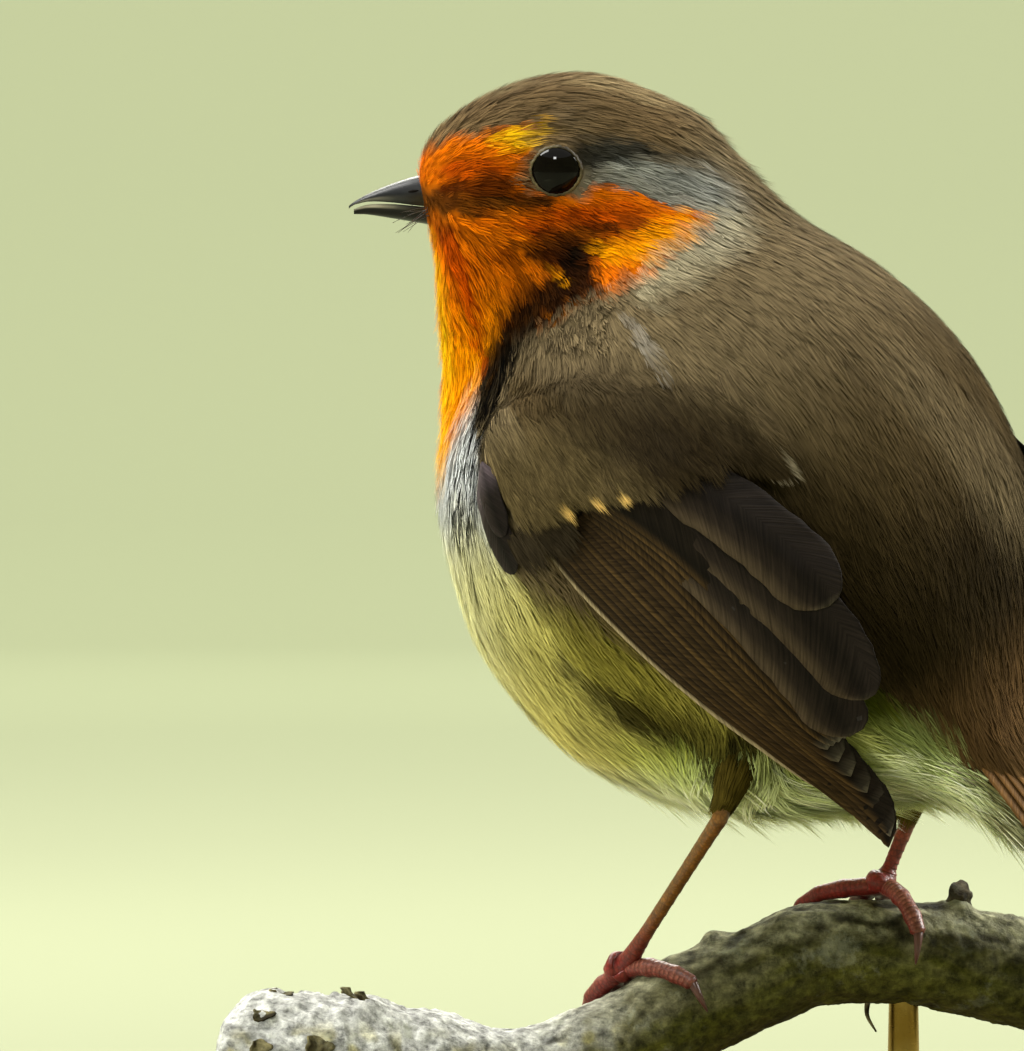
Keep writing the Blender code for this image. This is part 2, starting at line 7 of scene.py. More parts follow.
import bmesh
import bpy
import numpy as np
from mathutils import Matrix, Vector, noise
from mathutils.bvhtree import BVHTree


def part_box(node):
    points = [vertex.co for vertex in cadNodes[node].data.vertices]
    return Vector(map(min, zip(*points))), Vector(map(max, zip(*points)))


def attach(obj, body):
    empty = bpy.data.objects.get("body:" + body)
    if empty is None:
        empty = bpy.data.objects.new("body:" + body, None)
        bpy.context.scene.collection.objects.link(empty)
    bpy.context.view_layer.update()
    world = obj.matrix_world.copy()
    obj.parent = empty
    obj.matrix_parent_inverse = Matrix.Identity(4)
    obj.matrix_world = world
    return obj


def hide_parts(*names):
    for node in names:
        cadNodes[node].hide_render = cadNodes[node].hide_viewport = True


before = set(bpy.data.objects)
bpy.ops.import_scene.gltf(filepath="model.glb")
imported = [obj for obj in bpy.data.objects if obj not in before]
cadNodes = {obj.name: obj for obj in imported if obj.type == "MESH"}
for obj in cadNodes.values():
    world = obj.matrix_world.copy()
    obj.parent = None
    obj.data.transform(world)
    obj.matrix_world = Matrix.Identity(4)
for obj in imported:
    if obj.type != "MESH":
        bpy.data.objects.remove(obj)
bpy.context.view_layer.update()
scene = bpy.context.scene
mm = 0.001
trunk = 96.0  # height of the trunk's middle, from which the markings are measured
neckPivot = np.array((-10.0, 0.0, 96.0))
headTurn = math.radians(30)
print("frame loaded")


# ---------- small helpers


def linear(hexText):
    parts = [int(hexText[i:i + 2], 16) / 255 for i in (1, 3, 5)]
    return np.array([c / 12.92 if c <= 0.04045 else ((c + 0.055) / 1.055) ** 2.4 for c in parts])


def outOf(source):
    return source.outputs[0] if isinstance(source, bpy.types.Node) else source


def addNode(tree, kind, settings):
    # a setting that is a node or one of its sockets is linked, and any other is written in
    node = tree.nodes.new("ShaderNode" + kind)
    for key, value in settings.items():
        if isinstance(value, (bpy.types.Node, bpy.types.NodeSocket)):
            tree.links.new(outOf(value), node.inputs[key])
        elif isinstance(key, str) and hasattr(node, key):
            setattr(node, key, value)
        else:
            node.inputs[key].default_value = value
    return node


def addNoise(tree, place, scale, detail, roughness=0.5, distortion=0.0):
    settings = {"Vector": place, "Scale": scale, "Detail": detail, "Roughness": roughness,
                "Distortion": distortion}
    return addNode(tree, "TexNoise", settings)


def addSpan(tree, value, low, high, newLow, newHigh):
    return addNode(tree, "MapRange", {"Value": value, "From Min": low, "From Max": high, "To Min": newLow,
                                      "To Max": newHigh})


def addStretch(tree, place, scale, turned=(0.0, 0.0, 0.0)):
    return addNode(tree, "Mapping", {"Vector": place, "Scale": scale, "Rotation": turned})


def addMath(tree, operation, *terms):
    return addNode(tree, "Math", {"operation": operation, **dict(enumerate(terms))})


def addTones(tree, value, low, high, span=(0.0, 1.0)):
    ramp = addNode(tree, "ValToRGB", {"Fac": value})
    for element, position, colour in zip(ramp.color_ramp.elements, span, (low, high)):
        element.position, element.color = position, (*linear(colour), 1)
    return ramp


def addScaled(tree, colour, amount):
    return addNode(tree, "VectorMath", {"operation": "SCALE", 0: colour, "Scale": amount})


def newMaterial(name, settings):
    # the material, its node tree, and the place on the object that its patterns rest on
    made = bpy.data.materials.new(name)
    made.use_nodes = True
    for key, value in settings.items():
        made.node_tree.nodes["Principled BSDF"].inputs[key].default_value = value
    return made, made.node_tree, addNode(made.node_tree, "TexCoord", {}).outputs["Object"]


def wire(made, colour, height=None, strength=0.0, distance=0.0, invert=False):
    # the finished colour, and a bump whose distance is in metres
    shader = made.node_tree.nodes["Principled BSDF"]
    made.node_tree.links.new(outOf(colour), shader.inputs["Base Color"])
    if height:
        bump = addNode(made.node_tree, "Bump", {"Height": height, "Strength": strength, "Distance": distance,
                                                "invert": invert})
        made.node_tree.links.new(bump.outputs[0], shader.inputs["Normal"])
    return made


def speckled(name, scale, low, high, settings):
    # a finish whose colour wanders between two close shades
    made, tree, place = newMaterial(name, settings)
    return wire(made, addTones(tree, addNoise(tree, place, scale, 3.0), low, high))


def deselect():
    if bpy.context.object and bpy.context.object.mode != "OBJECT":
        bpy.ops.object.mode_set(mode="OBJECT")
    bpy.ops.object.select_all(action="DESELECT")


def pick(obj):
    deselect()
    obj.select_set(True)
    bpy.context.view_layer.objects.active = obj


def bake(obj, kind, **settings):
    pick(obj)
    modifier = obj.modifiers.new(kind.lower(), kind)
    for key, value in settings.items():
        setattr(modifier, key, value)
    bpy.ops.object.modifier_apply(modifier=modifier.name)


def settle(obj):
    pick(obj)
    bpy.ops.object.transform_apply(location=True, rotation=True, scale=True)


def joinPieces(pieces, name):
    # the pieces become one object, in the first one's place
    deselect()
    for piece in pieces:
        piece.select_set(True)
    bpy.context.view_layer.objects.active = pieces[0]
    if len(pieces) > 1:
        bpy.ops.object.join()
    made = bpy.context.object
    made.name = made.data.name = name
    return made


def editMode(on, action=None):
    # into or out of edit mode, with everything or nothing selected
    bpy.ops.object.mode_set(mode="EDIT" if on else "OBJECT")
    if action:
        bpy.ops.mesh.select_all(action=action)


def faceOutwards(obj):
    pick(obj)
    editMode(True, "SELECT")
    bpy.ops.mesh.normals_make_consistent(inside=False)
    editMode(False)


def cylinder(name, vertices, radius, depth, place, **more):
    # sizes and place in millimetres
    deselect()
    bpy.ops.mesh.primitive_cylinder_add(vertices=vertices, radius=radius * mm, depth=depth * mm,
                                        location=[v * mm for v in place], **more)
    made = bpy.context.object
    made.name = made.data.name = name
    return made


def finishPiece(obj, material, slotName, *replaced):
    obj.data.materials.clear()
    obj.data.materials.append(material)
    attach(obj, "root")
    if replaced:
        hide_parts(*replaced)


def meshFrom(name, points, triangles):
    # points in millimetres as one array, triangles as rows of three
    mesh = bpy.data.meshes.new(name)
    mesh.vertices.add(len(points))
    mesh.vertices.foreach_set("co", (np.asarray(points) * mm).astype(np.float32).ravel())
    triangles = np.asarray(triangles, dtype=np.int32)
    mesh.loops.add(triangles.size)
    mesh.loops.foreach_set("vertex_index", triangles.ravel())
    mesh.polygons.add(len(triangles))
    mesh.polygons.foreach_set("loop_start", np.arange(0, triangles.size, 3, dtype=np.int32))
    mesh.update(calc_edges=True)
    mesh.polygons.foreach_set("use_smooth", np.full(len(triangles), True))
    obj = bpy.data.objects.new(name, mesh)
    scene.collection.objects.link(obj)
    return obj


def paint(obj, colours):
    layer = obj.data.color_attributes.new(name="coatColour", type="FLOAT_COLOR", domain="POINT")
    rgba = np.ones((len(colours), 4), dtype=np.float32)
    rgba[:, :3] = colours
    layer.data.foreach_set("color", rgba.ravel())


def layOut(obj, places, name="OFBake"):
    # places: one UV per vertex
    layer = obj.data.uv_layers.new(name=name)
    corner = np.empty(len(obj.data.loops), dtype=np.int32)
    obj.data.loops.foreach_get("vertex_index", corner)
    layer.data.foreach_set("uv", places[corner].astype(np.float32).ravel())


def smoothStep(low, high, value):
    share = np.clip((value - low) / (high - low), 0.0, 1.0)
    return share * share * (3 - 2 * share)


def unit(vectors):
    return vectors / np.maximum(np.linalg.norm(vectors, axis=-1, keepdims=True), 1e-9)


def wobble(points, size, seed=0.0):
    # smooth noise from -1 to 1 at each point, with lumps of that size in millimetres
    return np.array([noise.noise(Vector(p) / size + Vector((seed, seed * 1.7, -seed))) for p in points])


def mix(base, colour, share):
    return base + (colour - base) * share


def lengthsAlong(path):
    return np.concatenate([[0], np.cumsum(np.linalg.norm(np.diff(path, axis=0), axis=1))])


def turns(count):
    # even angles once round
    return np.linspace(0, 2 * math.pi, count, endpoint=False)


def loftTriangles(rows, columns):
    faces = []
    for r in range(rows - 1):
        for c in range(columns):
            a, b = r * columns + c, r * columns + (c + 1) % columns
            d, e = a + columns, b + columns
            faces += [(a, b, e), (a, e, d)]
    return faces


def capTriangles(first, columns, centre, flip):
    faces = []
    for c in range(columns):
        a, b = first + c, first + (c + 1) % columns
        faces.append((centre, b, a) if flip else (centre, a, b))
    return faces


# ---------- camera, lights and floor

# the camera looks at target from that many metres away, and its frame spans across, in millimetres there
view = {"azimuth": 30.0, "elevation": 1.0, "target": (-19.6, -11.3, 91.7), "distance": 1.5, "across": 114.24,
        "sensor": 36}


def setUpView():
    az, el = math.radians(view["azimuth"]), math.radians(view["elevation"])
    ahead = Vector((-math.sin(az) * math.cos(el), math.cos(az) * math.cos(el), -math.sin(el)))
    camera = bpy.data.objects.new("camera", bpy.data.cameras.new("camera"))
    scene.collection.objects.link(camera)
    camera.location = Vector(view["target"]) * mm - ahead * view["distance"]
    camera.rotation_euler = ahead.to_track_quat("-Z", "Y").to_euler()
    camera.data.sensor_width = view["sensor"]
    camera.data.lens = view["sensor"] * view["distance"] / (view["across"] * mm)
    camera.data.clip_start, camera.data.clip_end = 0.05, 60
    scene.camera = camera
    scene.view_settings.view_transform = "Standard"


bird = (0.0, 0.0, 0.095)
lamps = {
    # name: (place in metres, aimed at, size in metres, watts, tint)
    "key": ((-1.05, -0.30, 1.90), bird, 0.90, 50.0, (1.0, 0.985, 0.94)),
    "rim": ((-0.75, 1.05, 1.10), bird, 0.70, 22.0, (1.0, 0.98, 0.90)),
    "low": ((-1.70, -1.30, 0.152), bird, 1.30, 28.6, (1.0, 1.0, 0.92)),
    "card": ((-0.14, -0.23, 0.004), (-0.14, -0.23, 1.0), 0.28, 0.35, (1.0, 1.0, 0.9)),
    "edge": ((1.05, 1.10, 0.95), bird, 0.60, 52.0, (1.0, 1.0, 0.95)),
    "under": ((-0.03, -0.24, 0.02), (0.0, -0.01, 0.066), 0.08, 0.20, (1.0, 1.0, 0.9)),
    "glow": ((-1.10, 0.45, 0.20), bird, 0.50, 9.0, (1.0, 1.0, 0.9)),
    "front": ((0.42, -0.95, 1.25), bird, 0.22, 7.0, (1.0, 1.0, 0.97)),
    "wall": ((-0.85, 1.45, 2.30), (-2.1, 3.7, 0.3), 1.20, 120.0, (1.0, 1.0, 0.95)),
}


mirrored = ("key", "rim", "front", "edge")  # the lamps that glossy surfaces reflect
airTint, airStrength = (0.97, 1.0, 0.93, 1), 0.68


def setUpLights():
    for name, (place, aim, size, power, tint) in lamps.items():
        data = bpy.data.lights.new(name, "AREA")
        data.size, data.energy, data.color = size, power, tint
        lamp = bpy.data.objects.new(name, data)
        lamp.location = place
        lamp.visible_camera = False
        lamp.visible_glossy = name in mirrored
        lamp.rotation_euler = (Vector(aim) - Vector(place)).to_track_quat("-Z", "Y").to_euler()
        scene.collection.objects.link(lamp)
    world = bpy.data.worlds.new("studio air")
    world.use_nodes = True
    background = world.node_tree.nodes["Background"]
    background.inputs["Color"].default_value = airTint
    background.inputs["Strength"].default_value = airStrength
    scene.world = world


floorPlan = {"flat": (1.0, 2.2, 3.0), "sweep": 1.6, "top": 5.0, "near": "#7d8168", "far": "#979c7d"}


def setUpFloor():
    # a wide floor whose rim sweeps up into a wall far behind every view
    start, sweep = floorPlan["flat"][-1], floorPlan["sweep"]
    rings = [(radius, 0.0) for radius in floorPlan["flat"]]
    for angle in (math.radians(a) for a in range(12, 91, 13)):
        rings.append((start + sweep * math.sin(angle), sweep - sweep * math.cos(angle)))
    rings.append((start + sweep, floorPlan["top"]))
    bpy.ops.mesh.primitive_circle_add(vertices=96, radius=rings[0][0], fill_type="TRIFAN")
    floor = bpy.context.object
    floor.name = "floor"
    editMode(True)
    mesh = bmesh.from_edit_mesh(floor.data)
    for (r0, z0), (r1, z1) in zip(rings, rings[1:]):
        for edge in mesh.edges:
            edge.select_set(edge.is_boundary)
        bmesh.update_edit_mesh(floor.data)
        bpy.ops.mesh.extrude_edges_move(TRANSFORM_OT_translate={"value": (0, 0, z1 - z0)})
        bpy.ops.transform.resize(value=(r1 / r0, r1 / r0, 1), center_override=(0, 0, 0))
        mesh = bmesh.from_edit_mesh(floor.data)
        bpy.ops.mesh.select_all(action="DESELECT")
    editMode(False)
    bpy.ops.object.shade_smooth()
    # Seamless background paper: dead matt, and a little paler towards the wall, where less light falls on it.
    paper, tree, place = newMaterial("matt studio paper", {"Roughness": 0.95, "Specular IOR Level": 0.1})
    away = addNode(tree, "VectorMath", {"operation": "LENGTH", 0: place}).outputs["Value"]
    share = addSpan(tree, away, 1.2, 2.9, 0.0, 1.0)
    share.interpolation_type = "SMOOTHSTEP"
    wire(paper, addTones(tree, share, floorPlan["near"], floorPlan["far"]))
    floor.data.materials.append(paper)


setUpView()
setUpLights()
deselect()
setUpFloor()
print("view, lights and floor")


# ---------- where things are on the bird


def headFrame(points):
    # behind the neck pivot, out to the right, and above the trunk's middle
    d = points - neckPivot
    c, s = math.cos(headTurn), math.sin(headTurn)
    return d[:, 0] * c + d[:, 1] * s, -d[:, 0] * s + d[:, 1] * c, d[:, 2]


def fromHead(behind, right, height):
    c, s = math.cos(headTurn), math.sin(headTurn)
    return np.array((neckPivot[0] + behind * c - right * s, neckPivot[1] + behind * s + right * c,
                     height + trunk))


wingPlan = {
    "wrist": (-15.0, 4.0),
    "droop": {"left": 46.0, "right": 31.0},
    "sink": 0.9,  # how far the lowest feathers lie under the solid wing's face
    # the folded wing's outline as seen, along from the wrist and across towards the back
    "outline": ((-3.0, 2.0), (2.0, -3.4), (8.0, -6.0), (13.0, -5.2), (15.0, -2.6), (22.0, -0.8), (28.0, -0.8),
                (35.0, -0.8), (41.0, -0.2), (53.0, 0.0), (60.5, 0.8), (57.5, 4.8), (53.5, 7.2), (50.0, 10.0),
                (49.2, 13.5), (46.8, 16.2), (42.7, 18.8), (38.4, 20.4), (34.6, 21.6), (31.0, 22.0),
                (24.0, 21.6), (14.0, 19.0), (6.0, 16.5), (0.0, 10.0)),
    # the solid wing's outline
    "solid": ((-3.0, 2.0), (2.0, -4.8), (8.0, -7.4), (15.0, -5.6), (24.0, -3.2), (38.0, -0.6), (53.0, 0.0),
              (60.5, 0.6), (57.0, 5.2), (51.0, 9.2), (49.5, 13.4), (46.0, 16.0), (41.0, 18.8), (33.0, 21.2),
              (24.0, 21.6), (14.0, 19.0), (6.0, 16.5), (0.0, 10.0)),
}


def wingPlace(side, points):
    # along and across for points given in the world
    droop = math.radians(wingPlan["droop"][side])
    x = points[:, 0] - wingPlan["wrist"][0]
    z = points[:, 2] - trunk - wingPlan["wrist"][1]
    return x * math.cos(droop) - z * math.sin(droop), x * math.sin(droop) + z * math.cos(droop)


def insideBy(x, y, outline):
    # how far inside a closed outline each point is, negative outside
    ring = np.array(outline, dtype=float)
    nearest = np.full(len(x), 1e9)
    inside = np.zeros(len(x), dtype=bool)
    for (x0, y0), (x1, y1) in zip(ring, np.roll(ring, -1, axis=0)):
        t = np.clip(((x - x0) * (x1 - x0) + (y - y0) * (y1 - y0)) / ((x1 - x0) ** 2 + (y1 - y0) ** 2), 0, 1)
        nearest = np.minimum(nearest, np.hypot(x - x0 - t * (x1 - x0), y - y0 - t * (y1 - y0)))
        rise = y1 - y0 if y1 != y0 else 1e-9
        inside ^= ((y0 > y) != (y1 > y)) & (x < (x1 - x0) * (y - y0) / rise + x0)
    return np.where(inside, nearest, -nearest)


# ---------- the markings, and the shade and light painted with them

# edge of the orange on the head: behind the neck pivot, height above the trunk's middle
faceOutline = ((-26.0, 34.4), (-23.4, 36.6), (-20.5, 37.6), (-17.0, 38.2), (-13.6, 38.9), (-10.9, 39.6),
               (-11.8, 37.4), (-12.3, 34.3), (-11.2, 31.6), (-7.0, 31.4), (-4.0, 32.7), (-1.5, 32.3),
               (1.4, 30.4), (6.5, 30.0), (7.2, 28.4), (2.8, 24.6), (-1.3, 22.0), (-4.4, 21.0), (-8.6, 18.4),
               (-14.7, 14.8), (-17.4, 11.5), (-30.0, 5.0), (-30.0, 30.0))
# edge of the orange on the breast: height, and the furthest back that it reaches
breastEdge = ((-7.0, -36.0), (-3.0, -31.5), (1.7, -28.0), (5.0, -26.2), (9.3, -22.0), (12.6, -20.6),
              (15.3, -17.8), (20.0, -12.0), (30.0, 0.0))

# lower edge of the bib where the left breast is seen, and the streaks behind it: behind, height, half width
bibOutline = ((-32.0, 18.0), (-14.6, 15.5), (-16.6, 11.8), (-17.8, 9.6), (-19.0, 7.0), (-20.0, 5.2),
              (-20.9, 3.0), (-21.8, 0.0), (-32.0, -3.0))
streakRows = ((-13.8, 14.0, 0.9), (-16.4, 9.4, 1.5), (-17.8, 4.1, 1.9), (-18.8, -0.5, 1.9),
              (-19.2, -5.0, 1.4))

# Some of these also stand for light: mantleShade, rump, ventShade, thigh and dark serve as painted shade,
# gold as painted rim light, and breastSide once as a painted highlight; fringe is near white partly for light
# shining through it, and the yellow-green of the belly, vent and undertail is partly painted reflection of
# green light.
plumage = {
    "orange": "#d86c03", "deepOrange": "#ab3c00", "yellowOrange": "#ec9800", "gold": "#ffc814",
    "lore": "#4a1c02", "crown": "#6b573b", "crownPale": "#93805c", "back": "#6e5f45",
    "mantleShade": "#463821", "rump": "#2a2111", "greyBlue": "#85867e", "eyeBand": "#191a16",
    "neckPale": "#a59b7e", "breastSide": "#b9bbbb", "flank": "#7d742c", "belly": "#e0dca8",
    "bellyMiddle": "#dcd078", "vent": "#b7ce4e", "undertail": "#dcec9a", "fringe": "#f4f8d2",
    "ventShade": "#4c5410", "tailBase": "#5c4428", "thigh": "#241e09", "dark": "#0f0a05",
}
plumage = {name: linear(value) for name, value in plumage.items()}

# strokes of colour: name, strength, and rows of behind, height and half width, on both sides or the left one.
# Some are painted shade or light, as marked
strokes = (
    ("deepOrange", 0.7, True, ((-21.0, 34.5, 1.0), (-17.5, 35.0, 1.4), (-15.0, 34.0, 1.0))),
    ("lore", 0.92, True, ((-21.5, 32.2, 0.5), (-18.0, 32.4, 1.1), (-14.5, 32.4, 1.7), (-12.6, 33.2, 1.2))),
    ("thigh", 0.85, True,
     ((-26.0, 30.8, 1.5), (-22.5, 30.8, 1.5), (-19.2, 30.4, 1.3), (-14.5, 30.6, 1.1), (-9.5, 30.6, 0.5))),
    ("gold", 0.85, True, ((-15.4, 37.5, 0.6), (-12.8, 37.5, 1.2), (-10.8, 39.2, 0.7))),
    ("deepOrange", 0.75, True, ((-12.0, 28.0, 1.0), (-6.0, 29.4, 1.6), (-1.0, 29.5, 1.4))),
    ("yellowOrange", 0.95, True, ((-4.6, 25.4, 0.9), (0.4, 25.2, 1.5), (4.8, 28.0, 1.2), (6.4, 29.2, 0.5))),
    # painted shade: a dark line in the fold between the cheek's two lobes
    ("dark", 0.75, True, ((-11.5, 27.6, 0.5), (-8.0, 27.4, 1.0), (-4.6, 27.4, 1.0), (1.2, 28.0, 0.4))),
    # painted shade down the side of the throat
    ("deepOrange", 0.85, True,
     ((-21.0, 27.6, 0.8), (-19.4, 22.6, 0.9), (-17.6, 17.0, 0.7), (-17.0, 13.0, 0.4))),
    # painted shade on the left of the throat, under the cheek
    ("lore", 0.55, False, ((-15.2, 26.4, 0.7), (-13.4, 23.6, 1.1), (-11.8, 21.2, 1.1))),
    ("lore", 0.5, True, ((-22.6, 28.6, 1.0), (-20.0, 27.6, 1.4), (-17.5, 26.0, 1.0))),
    # painted rim light: gold down the lit front edge of the throat and bib
    ("gold", 0.65, True,
     ((-23.6, 27.0, 1.2), (-22.6, 22.0, 1.7), (-22.0, 15.0, 2.0), (-22.2, 8.0, 2.0), (-22.8, 1.0, 1.8))),
    ("eyeBand", 0.85, True, ((-5.8, 35.8, 1.6), (-1.5, 36.3, 1.5), (1.5, 36.2, 0.8))),
    ("eyeBand", 0.5, True, ((1.5, 36.2, 0.8), (4.5, 35.8, 0.7), (8.0, 34.4, 0.5))),
    ("greyBlue", 0.8, True, ((-1.0, 33.9, 0.7), (3.0, 33.4, 1.2), (7.5, 32.4, 1.3), (9.5, 30.0, 1.0))),
    ("neckPale", 0.75, True, ((0.5, 21.0, 1.6), (6.0, 24.5, 2.6), (10.5, 28.0, 2.0))),
    ("crownPale", 0.7, True, ((-6.0, 44.0, 0.8), (-1.0, 43.0, 1.0), (3.4, 41.0, 0.9))),
    ("crownPale", 0.55, True, ((-17.0, 42.0, 0.4), (-14.0, 43.2, 0.5), (-11.5, 43.6, 0.4))),
    # painted shade in the crease under the cheek, and on down along the shoulder's front edge
    ("dark", 0.9, False, ((-12.5, 25.6, 0.6), (-10.0, 25.2, 1.9), (-7.0, 25.2, 1.8), (-5.0, 25.8, 0.9))),
    ("dark", 0.97, False, ((-6.8, 24.6, 2.0), (-7.2, 21.9, 2.8), (-9.4, 20.4, 2.4), (-11.4, 19.2, 2.2),
                           (-13.0, 17.6, 2.2), (-14.3, 15.4, 1.9), (-15.4, 12.4, 1.5), (-16.3, 9.4, 1.1),
                           (-17.4, 6.2, 0.8), (-18.2, 4.2, 0.5))),
    ("yellowOrange", 0.8, False, ((-8.6, 22.9, 0.35), (-8.0, 22.4, 0.4))),
    # painted shade over the shoulder and scapulars and down the back, in the mantle's shade colour and the
    # rump's dark brown
    ("mantleShade", 0.85, False, ((-12.4, 10.0, 2.2), (-9.0, 5.0, 3.6), (-2.2, 4.0, 5.2), (5.0, 3.0, 4.2))),
    ("rump", 0.72, True,
     ((-9.0, 10.0, 1.8), (-4.0, 9.5, 3.4), (2.0, 8.0, 4.2), (7.5, 5.8, 4.2), (12.0, 3.5, 3.0))),
    ("rump", 0.68, True,
     ((-10.6, 2.6, 2.4), (-8.0, 5.0, 3.3), (-1.0, 3.2, 4.0), (6.0, 1.5, 3.5), (11.0, 0.0, 2.5))),
    ("rump", 0.75, True, ((13.0, 1.0, 3.0), (18.0, -2.5, 4.5), (22.5, -6.5, 5.0), (24.0, -14.0, 4.0))),
    # paler along the back's far edge, where the painted shade lifts
    ("back", 0.6, True, ((28.0, 12.0, 3.0), (35.5, 4.0, 3.6), (40.0, -4.0, 3.0))),
    # painted highlight: a pale grey streak on the shoulder
    ("breastSide", 0.2, False, ((-1.0, 17.4, 0.5), (0.8, 14.6, 0.6), (2.0, 12.2, 0.4))),
    # painted shade between the breast and the wing's front edge
    ("mantleShade", 0.6, False, ((-14.0, 3.0, 1.1), (-12.4, -2.0, 1.3), (-9.6, -7.0, 1.1))),
    ("flank", 0.45, False,
     ((-19.0, -4.0, 1.6), (-17.5, -9.0, 2.2), (-14.5, -15.0, 2.6), (-11.0, -20.0, 2.2))),
    # painted shade under the wing, in the flank's olive, in these two strokes
    ("flank", 0.6, True, ((-8.0, -15.0, 2.0), (-3.0, -20.0, 2.6), (3.0, -24.5, 2.4))),
    ("flank", 0.75, True, ((-5.0, -17.0, 2.4), (1.0, -22.0, 3.0), (8.0, -26.0, 3.0))),
    # painted shade in the fold under the wing and across the thigh
    ("thigh", 0.9, True,
     ((-6.0, -20.4, 0.7), (-3.4, -22.8, 1.3), (0.4, -25.0, 2.0), (5.0, -27.0, 2.2), (9.4, -29.2, 2.0),
      (14.0, -30.0, 1.9), (17.5, -30.8, 1.3))),
    ("thigh", 0.95, True, ((12.0, -26.0, 2.2), (10.0, -29.0, 2.0), (8.8, -31.6, 1.3))),
    # painted shade behind the wing's tip
    ("ventShade", 0.7, True, ((22.0, -23.0, 3.0), (28.0, -27.0, 2.4), (33.0, -29.6, 1.7))),
    ("fringe", 0.95, True, ((26.5, -30.6, 1.0), (30.0, -31.0, 2.0), (31.5, -33.5, 1.6))),
)


def blend(base, colour, share):
    return mix(base, colour, np.clip(share, 0, 1)[:, None])


def strokeShare(q, z, rows):
    # how far a point lies inside a stroke: 1 on its line and 0 beyond its half width
    best = np.zeros(len(q))
    for (q0, z0, r0), (q1, z1, r1) in zip(rows, rows[1:]):
        t = np.clip(((q - q0) * (q1 - q0) + (z - z0) * (z1 - z0)) / ((q1 - q0) ** 2 + (z1 - z0) ** 2), 0, 1)
        away = np.hypot(q - q0 - t * (q1 - q0), z - z0 - t * (z1 - z0))
        best = np.maximum(best, smoothStep(1.25, 0.55, away / (r0 + (r1 - r0) * t)))
    return best


def breastBy(x, z):
    # how far in front of the orange's edge on the breast
    return np.interp(z, [h for h, _ in breastEdge], [e for _, e in breastEdge]) - x


def markingsAndShading(points, seed=5.0):
    # colour of the plumage with its painted shade and light, at points given in millimetres
    shifted = points + np.stack([wobble(points, 2.0, seed + k) for k in (1.0, 2.0, 3.0)], axis=1) * 0.7
    q, w, z = headFrame(shifted)
    x, sideways = shifted[:, 0], np.abs(shifted[:, 1])

    def layered(base, *coats):
        colour = np.repeat(plumage[base][None], len(points), axis=0)
        for name, share in coats:
            colour = blend(colour, plumage[name], share)
        return colour

    # upper parts: warmer on the crown, darker down the back and over the rump as painted shade, deepening
    # away from the key lamp
    down = np.where(w < 0, q, x + 4.0) * 0.6 - z * 0.8
    colour = layered(
        "back", ("crown", smoothStep(33, 38, z) * smoothStep(10, 2, q)),
        ("mantleShade", 0.9 * smoothStep(-10, 16, down)), ("rump", smoothStep(15, 28, down)),
        ("tailBase", smoothStep(34, 42, down) * 0.8))
    # under parts: below a line that runs from the wing's bend back to the tail
    ventEdge = np.interp(x, (20.0, 25.7, 32.4, 36.8, 38.5, 41.0), (-22.0, -25.2, -27.1, -32.3, -36.4, -43.0))
    under = np.maximum.reduce([
        smoothStep(2.0, -1.6, z - (0.0 - 0.75 * (x + 25))),
        smoothStep(1.5, -1.5, z - (8.6 - 1.9 * (x + 21))) * smoothStep(13, 8, z),
        smoothStep(-20, -24, z) * smoothStep(24, 18, x),
        smoothStep(1.0, -1.0, z - ventEdge) * smoothStep(10, 20, x)])
    behind = np.where(w < 0, q, -40.0)
    # the yellow-green over the belly, vent and undertail is partly painted reflection of green light, and the
    # lowest fringe is painted near white partly for light shining through it
    belly = layered(
        "belly",
        ("bellyMiddle", smoothStep(5, 16, sideways) * smoothStep(-19, -9, np.maximum(behind, x - 2))),
        ("flank", 0.7 * smoothStep(10, 22, sideways) * smoothStep(-12, -1, np.maximum(behind, x + 2))),
        ("vent", smoothStep(-8, 8, x) * smoothStep(-26, -32, z) * 0.85), ("undertail", smoothStep(22, 34, x)),
        ("fringe", 0.6 * smoothStep(-29.5, -34.0, z)), ("breastSide", smoothStep(-11, -3, z)))
    colour = blend(colour, belly, under)
    high = smoothStep(14.5, 17.5, z) * (w < 0) + smoothStep(15, 25, z) * (w >= 0)
    orange = insideBy(q, z, faceOutline) * high + breastBy(x, z) * (1 - high)
    orange = np.maximum(orange, np.where(w < -1, insideBy(q, z, bibOutline), -9.0))
    # a grey-blue border lies behind the orange on the neck's side
    border = smoothStep(-6.0, -2.5, orange) * smoothStep(23, 27, z) * smoothStep(-9, -2, q)
    colour = blend(colour, plumage["greyBlue"], border * 0.75)
    patchy = smoothStep(-0.1, 0.5, wobble(points, 2.6, 33)) * smoothStep(6, 16, z)
    warm = layered("orange", ("yellowOrange", 0.85 * smoothStep(24, 10, z)), ("deepOrange", 0.45 * patchy))
    colour = blend(colour, warm, smoothStep(-0.5, 0.5, orange))
    left = smoothStep(1.0, -3.0, w)
    for name, strength, both, rows in strokes:
        share = strokeShare(q, z, rows) * strength
        colour = blend(colour, plumage[name], share if both else share * left)
    return colour * (1 + 0.12 * wobble(points, 3.2, 41))[:, None]


def streaked(points):
    # where white and black strands mix: beside the bib, on the left and the right of the breast
    q, w, z = headFrame(points)
    breast = breastBy(points[:, 0], z)
    right = (smoothStep(-6.5, -3.5, breast) * smoothStep(1.0, -0.5, breast) * smoothStep(16, 12, z)
             * smoothStep(-8, -3, z))
    return np.where(w < 0, strokeShare(q, z, streakRows), right)


# ---------- the skin

flesh = ("head", "nape", "throat", "mantle", "rump", "breast", "belly", "vent", "thigh_left", "thigh_right",
         "wing_left_coverts", "wing_right_coverts")
# puff and voxel in metres, depths in millimetres
skinPlan = {"puff": 0.00022, "voxel": 0.0009, "faceDepth": 0.32, "bodyDepth": 0.7, "wingDepth": 0.6}


